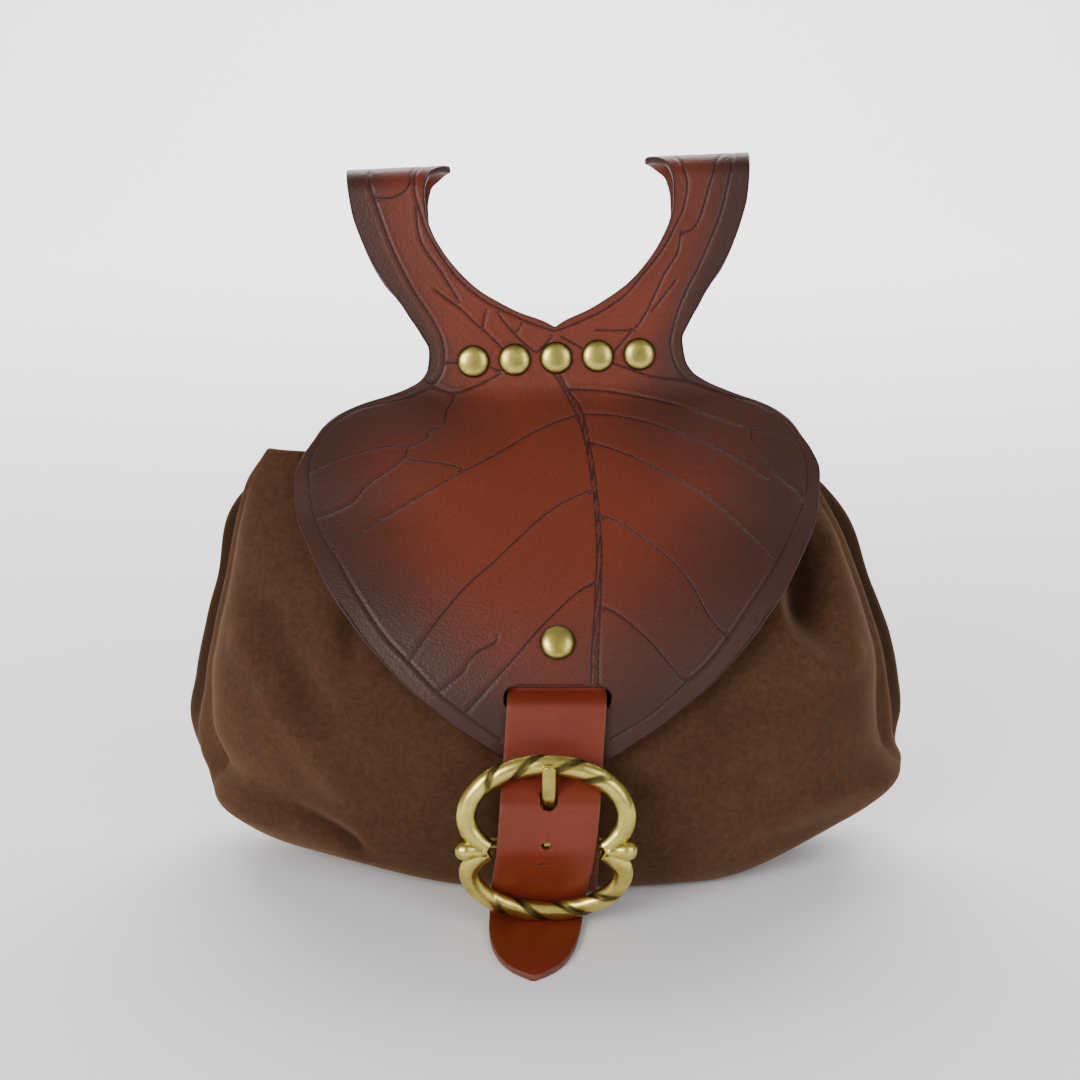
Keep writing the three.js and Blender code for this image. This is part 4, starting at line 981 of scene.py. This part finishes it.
# ---------------------------------------------------------------- materials
class Look:
    """A material: each method adds a node and gives its output."""

    def __init__(self, name):
        self.material = bpy.data.materials.new(name)
        self.material.use_nodes = True
        self.tree = self.material.node_tree

    def put(self, socket, value):
        if isinstance(value, bpy.types.NodeSocket):
            self.tree.links.new(value, socket)
        else:
            socket.default_value = value

    def add(self, kind, inputs=None, **settings):
        node = self.tree.nodes.new(kind)
        for key, value in settings.items():
            setattr(node, key, value)
        for key, value in (inputs or {}).items():
            self.put(node.inputs[key], value)
        return node

    @functools.cached_property
    def where(self):
        return self.add("ShaderNodeTexCoord").outputs["Object"]

    def attribute(self, name):
        return self.add("ShaderNodeAttribute", attribute_name=name).outputs["Fac"]

    def noise(self, scale, detail=3.0, roughness=0.5):
        inputs = {"Vector": self.where, "Scale": scale, "Detail": detail, "Roughness": roughness}
        return self.add("ShaderNodeTexNoise", inputs).outputs[0]

    def cells(self, scale, smoothness):
        inputs = {"Vector": self.where, "Scale": scale, "Smoothness": smoothness}
        return self.add("ShaderNodeTexVoronoi", inputs, feature="SMOOTH_F1").outputs["Distance"]

    def calc(self, operation, a, b=0.0, c=0.0):
        return self.add("ShaderNodeMath", {0: a, 1: b, 2: c}, operation=operation).outputs[0]

    def plus(self, a, b):
        return self.calc("ADD", a, b)

    def times(self, a, b, plus=0.0):
        return self.calc("MULTIPLY_ADD", a, b, plus)

    def fade(self, value, start, end):
        rising = start < end
        inputs = {
            "Value": value, "From Min": min(start, end), "From Max": max(start, end),
            "To Min": 0.0 if rising else 1.0, "To Max": 1.0 if rising else 0.0,
        }
        return self.add("ShaderNodeMapRange", inputs, interpolation_type="SMOOTHSTEP").outputs[0]

    def ramp(self, factor, stops):
        node = self.add("ShaderNodeValToRGB", {0: factor})
        elements = node.color_ramp.elements
        while len(elements) < len(stops):
            elements.new(0.5)
        for element, (at, colour) in zip(elements, stops):
            element.position = at
            element.color = (*colour, 1)
        return node.outputs[0]

    def mix(self, factor, a, b, blend="MIX"):
        inputs = {0: factor, 6: a, 7: b}
        return self.add("ShaderNodeMix", inputs, data_type="RGBA", blend_type=blend).outputs[2]

    def mottle(self, factor, colour, pattern, dark, light):
        """A fine pattern laid over a colour; dark and light are its two greys."""
        return self.mix(factor, colour, self.ramp(pattern, [(0.3, dark), (0.7, light)]), "OVERLAY")

    def bump(self, height, distance, strength, normal=None):
        inputs = {"Height": height, "Distance": distance, "Strength": strength}
        if normal is not None:
            inputs["Normal"] = normal
        return self.add("ShaderNodeBump", inputs).outputs[0]

    def finish(self, **inputs):
        """Sets the shader's inputs, whose names have _ for a space, and gives the material."""
        shader = self.tree.nodes["Principled BSDF"]
        for name, value in inputs.items():
            self.put(shader.inputs[name.replace("_", " ")], value)
        return self.material


def leather_material():
    look = Look("leather")
    burn = look.plus(look.attribute("burn"), look.times(look.noise(32, 3), 0.36, -0.2))
    colour = look.ramp(burn, [
        (0.0, (0.126, 0.0192, 0.0066)),
        (0.33, (0.098, 0.0166, 0.0066)),
        (0.68, (0.062, 0.0132, 0.0066)),
        (0.98, (0.037, 0.0110, 0.0066)),
    ])
    colour = look.mottle(0.3, colour, look.noise(900, 3), (0.34, 0.34, 0.34), (0.68, 0.67, 0.66))
    # the pressed lines: thin and dark, with a broken, stitched look
    across = look.calc("ABSOLUTE", look.attribute("side"))
    across = look.plus(across, look.times(look.noise(1150, 2, 0.6), 0.5, -0.25))
    here = look.fade(look.attribute("groove"), 1.15, 0.8)
    core = look.times(look.fade(across, 0.36, 0.1), here)
    shade = look.times(look.fade(across, 0.8, 0.25), here)
    colour = look.mix(look.times(shade, 0.25), colour, (0.05, 0.011, 0.006, 1))
    colour = look.mix(look.times(core, 0.85), colour, (0.016, 0.005, 0.004, 1))
    # darker along the edge and on the cut; the flesh side is redder
    border = look.fade(look.attribute("edge"), 1.5, 0.3)
    cut = look.attribute("cut")
    colour = look.mix(look.times(border, 0.5), colour, (0.028, 0.0095, 0.0065, 1))
    colour = look.mix(look.fade(cut, 0.2, 0.9), colour, (0.040, 0.012, 0.008, 1))
    colour = look.mix(look.fade(cut, 1.2, 1.9), colour, (0.150, 0.034, 0.016, 1))
    grain = look.plus(look.cells(1350.0, 0.6), look.times(look.noise(520, 4, 0.6), 0.9))
    grained = look.bump(grain, 0.00012, 0.55)
    return look.finish(
        Base_Color=colour,
        Roughness=look.times(look.noise(60, 3), 0.14, 0.38),
        Normal=look.bump(look.calc("SUBTRACT", 1.0, core), 0.0003, 0.6, grained),
        Specular_IOR_Level=0.3,
    )


def strap_material():
    look = Look("strap_leather")
    colour = look.ramp(look.noise(45, 3), [(0.25, (0.132, 0.0172, 0.0060)), (0.75, (0.168, 0.0232, 0.0082))])
    colour = look.mottle(0.25, colour, look.noise(800, 3), (0.36, 0.36, 0.36), (0.66, 0.65, 0.64))
    cut = look.attribute("cut")
    fibre = look.ramp(look.noise(1300, 4, 0.7), [(0.3, (0.075, 0.017, 0.010)), (0.7, (0.19, 0.055, 0.028))])
    grain = look.plus(look.noise(700, 4, 0.6), look.times(look.noise(90, 3), 0.8))
    fuzz = look.times(look.times(look.noise(1600, 3, 0.7), 2.5), cut)
    return look.finish(
        Base_Color=look.mix(cut, colour, fibre),
        Roughness=look.times(look.noise(70, 3), 0.12, 0.36),
        Normal=look.bump(look.plus(grain, fuzz), 0.0001, 0.5),
        Specular_IOR_Level=0.35,
    )


def suede_material():
    look = Look("suede")
    middle = look.noise(95, 4, 0.6)
    nap = look.times(middle, 0.2, look.times(look.noise(24, 4, 0.6), 0.8))
    colour = look.ramp(nap, [
        (0.3, (0.045, 0.0187, 0.0092)),
        (0.5, (0.056, 0.0243, 0.0122)),
        (0.7, (0.069, 0.0312, 0.0162)),
    ])
    colour = look.mottle(0.6, colour, look.noise(520, 4, 0.7), (0.28, 0.28, 0.28), (0.72, 0.72, 0.72))
    # painted shade: the suede turns dark brown in the creases and fold valleys
    deep = look.fade(look.attribute("crease_shade"), 0.1, 0.95)
    pile = look.plus(look.noise(1500, 3, 0.7), look.times(middle, 1.4))
    return look.finish(
        Base_Color=look.mix(deep, colour, look.mix(0.66, colour, (0.011, 0.0045, 0.0025, 1))),
        Roughness=1.0,
        Normal=look.bump(pile, 0.00024, 0.6),
        Specular_IOR_Level=0.1,
        Sheen_Weight=0.3,
        Sheen_Roughness=0.5,
        Sheen_Tint=(0.6, 0.36, 0.2, 1),
    )


def brass_material():
    look = Look("brass")
    colour = look.ramp(look.noise(140, 4, 0.6), [
        (0.3, (0.38, 0.300, 0.068)),
        (0.5, (0.60, 0.490, 0.120)),
        (0.72, (0.75, 0.625, 0.17)),
    ])
    worn = look.times(look.noise(420, 3, 0.6), 0.5, -0.25)
    dark = look.fade(look.plus(look.attribute("hollow"), worn), 0.3, 0.95)
    return look.finish(
        Base_Color=look.mix(look.times(dark, 0.92), colour, (0.045, 0.032, 0.012, 1)),
        Metallic=1.0,
        Roughness=look.times(dark, 0.2, look.times(look.noise(260, 4), 0.2, 0.19)),
        Normal=look.bump(look.noise(620, 4, 0.6), 0.00006, 0.45),
    )


# ---------------------------------------------------------------- put it together
LOOKS = {
    "leather": leather_material(),
    "strap_leather": strap_material(),
    "suede": suede_material(),
    "brass": brass_material(),
}


def dress(piece, look, node):
    piece.data.materials.clear()
    piece.data.materials.append(LOOKS[look])
    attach(piece, "root")
    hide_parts(node)


dress(make_pouch(), "suede", "pouch")
dress(make_flap(), "leather", "flap")
dress(make_strap(), "strap_leather", "closure_strap")
dress(make_chape(), "strap_leather", "buckle_strap")
dress(make_frame(), "brass", "buckle_frame")
dress(make_prong(), "brass", "buckle_prong")
for number, step in enumerate((-2, -1, 0, 1, 2), 1):
    # the middle rivet holds the flap and the suede, the others an end of a belt loop as well
    behind = LEATHER / 2 + GAP + SUEDE + 0.2 if step == 0 else LOOP_OFFSET + LEATHER / 2
    rivet = make_rivet(f"rivet_neck_{number}_brass", step * RIVET_STEP, 0.0, behind)
    dress(rivet, "brass", f"rivet_neck_{number}")
dress(make_rivet("rivet_flap_brass", 0.0, RIVET_FLAP_AT, 2.5 + STRAP / 2), "brass", "rivet_flap")


# ---------------------------------------------------------------- stage
SWEEP_AT, SWEEP_ROUND, WALL_TOP, FLOOR_FRONT, FLOOR_HALF = 1.2, 0.8, 3.5, -3.0, 4.0  # metres


def make_stage():
    rows = [(FLOOR_FRONT, 0.0)]
    for t in np.linspace(0, math.pi / 2, 24):
        rows.append((SWEEP_AT + SWEEP_ROUND * math.sin(t), SWEEP_ROUND * (1 - math.cos(t))))
    rows.append((SWEEP_AT + SWEEP_ROUND, WALL_TOP))
    points = np.array([(x, y, z) for y, z in rows for x in (-FLOOR_HALF, FLOOR_HALF)]) / MM
    floor = make_object("floor", points - SHIFT, [grid_quads(len(rows), 2)])
    floor.data.materials.append(Look("floor_pale").finish(Base_Color=(0.88, 0.87, 0.875, 1), Roughness=0.9))
    floor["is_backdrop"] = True


def area_light(name, location, target, size, power, colour=(1, 1, 1)):
    data = bpy.data.lights.new(name, "AREA")
    data.shape = "RECTANGLE"
    data.size, data.size_y = size
    data.energy = power
    data.color = colour
    light = bpy.data.objects.new(name, data)
    light.location = location
    light.rotation_euler = (Vector(target) - Vector(location)).to_track_quat("-Z", "Y").to_euler()
    bpy.context.scene.collection.objects.link(light)


make_stage()
TARGET = (0, 0, 0.1)
area_light("key", (-0.85, -1.1, 0.7), TARGET, (0.7, 0.7), 20, (1.0, 0.985, 0.965))
area_light("fill", (0.85, -1.0, 0.65), TARGET, (0.7, 0.9), 7.5, (0.97, 0.98, 1.0))
area_light("back", (0.0, 1.25, 1.0), (0.0, 1.0, 0.0), (2.2, 1.2), 60)
world = bpy.data.worlds.new("studio")
world.use_nodes = True
world.node_tree.nodes["Background"].inputs[0].default_value = (0.86, 0.87, 0.9, 1)
world.node_tree.nodes["Background"].inputs[1].default_value = 0.42
bpy.context.scene.world = world

camera_data = bpy.data.cameras.new("camera")
camera_data.lens = 60
camera_data.sensor_width = 36
camera = bpy.data.objects.new("camera", camera_data)
camera.location = (-0.0018, -0.5255, 0.2789)
camera.rotation_euler = (math.radians(72), 0, 0)
bpy.context.scene.collection.objects.link(camera)
bpy.context.scene.camera = camera


def plain(value):
    if isinstance(value, (int, float, str)):
        return value
    return [plain(v) for v in value]


{"at_load": plain(size_at_load), "at_finish": plain(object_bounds())}
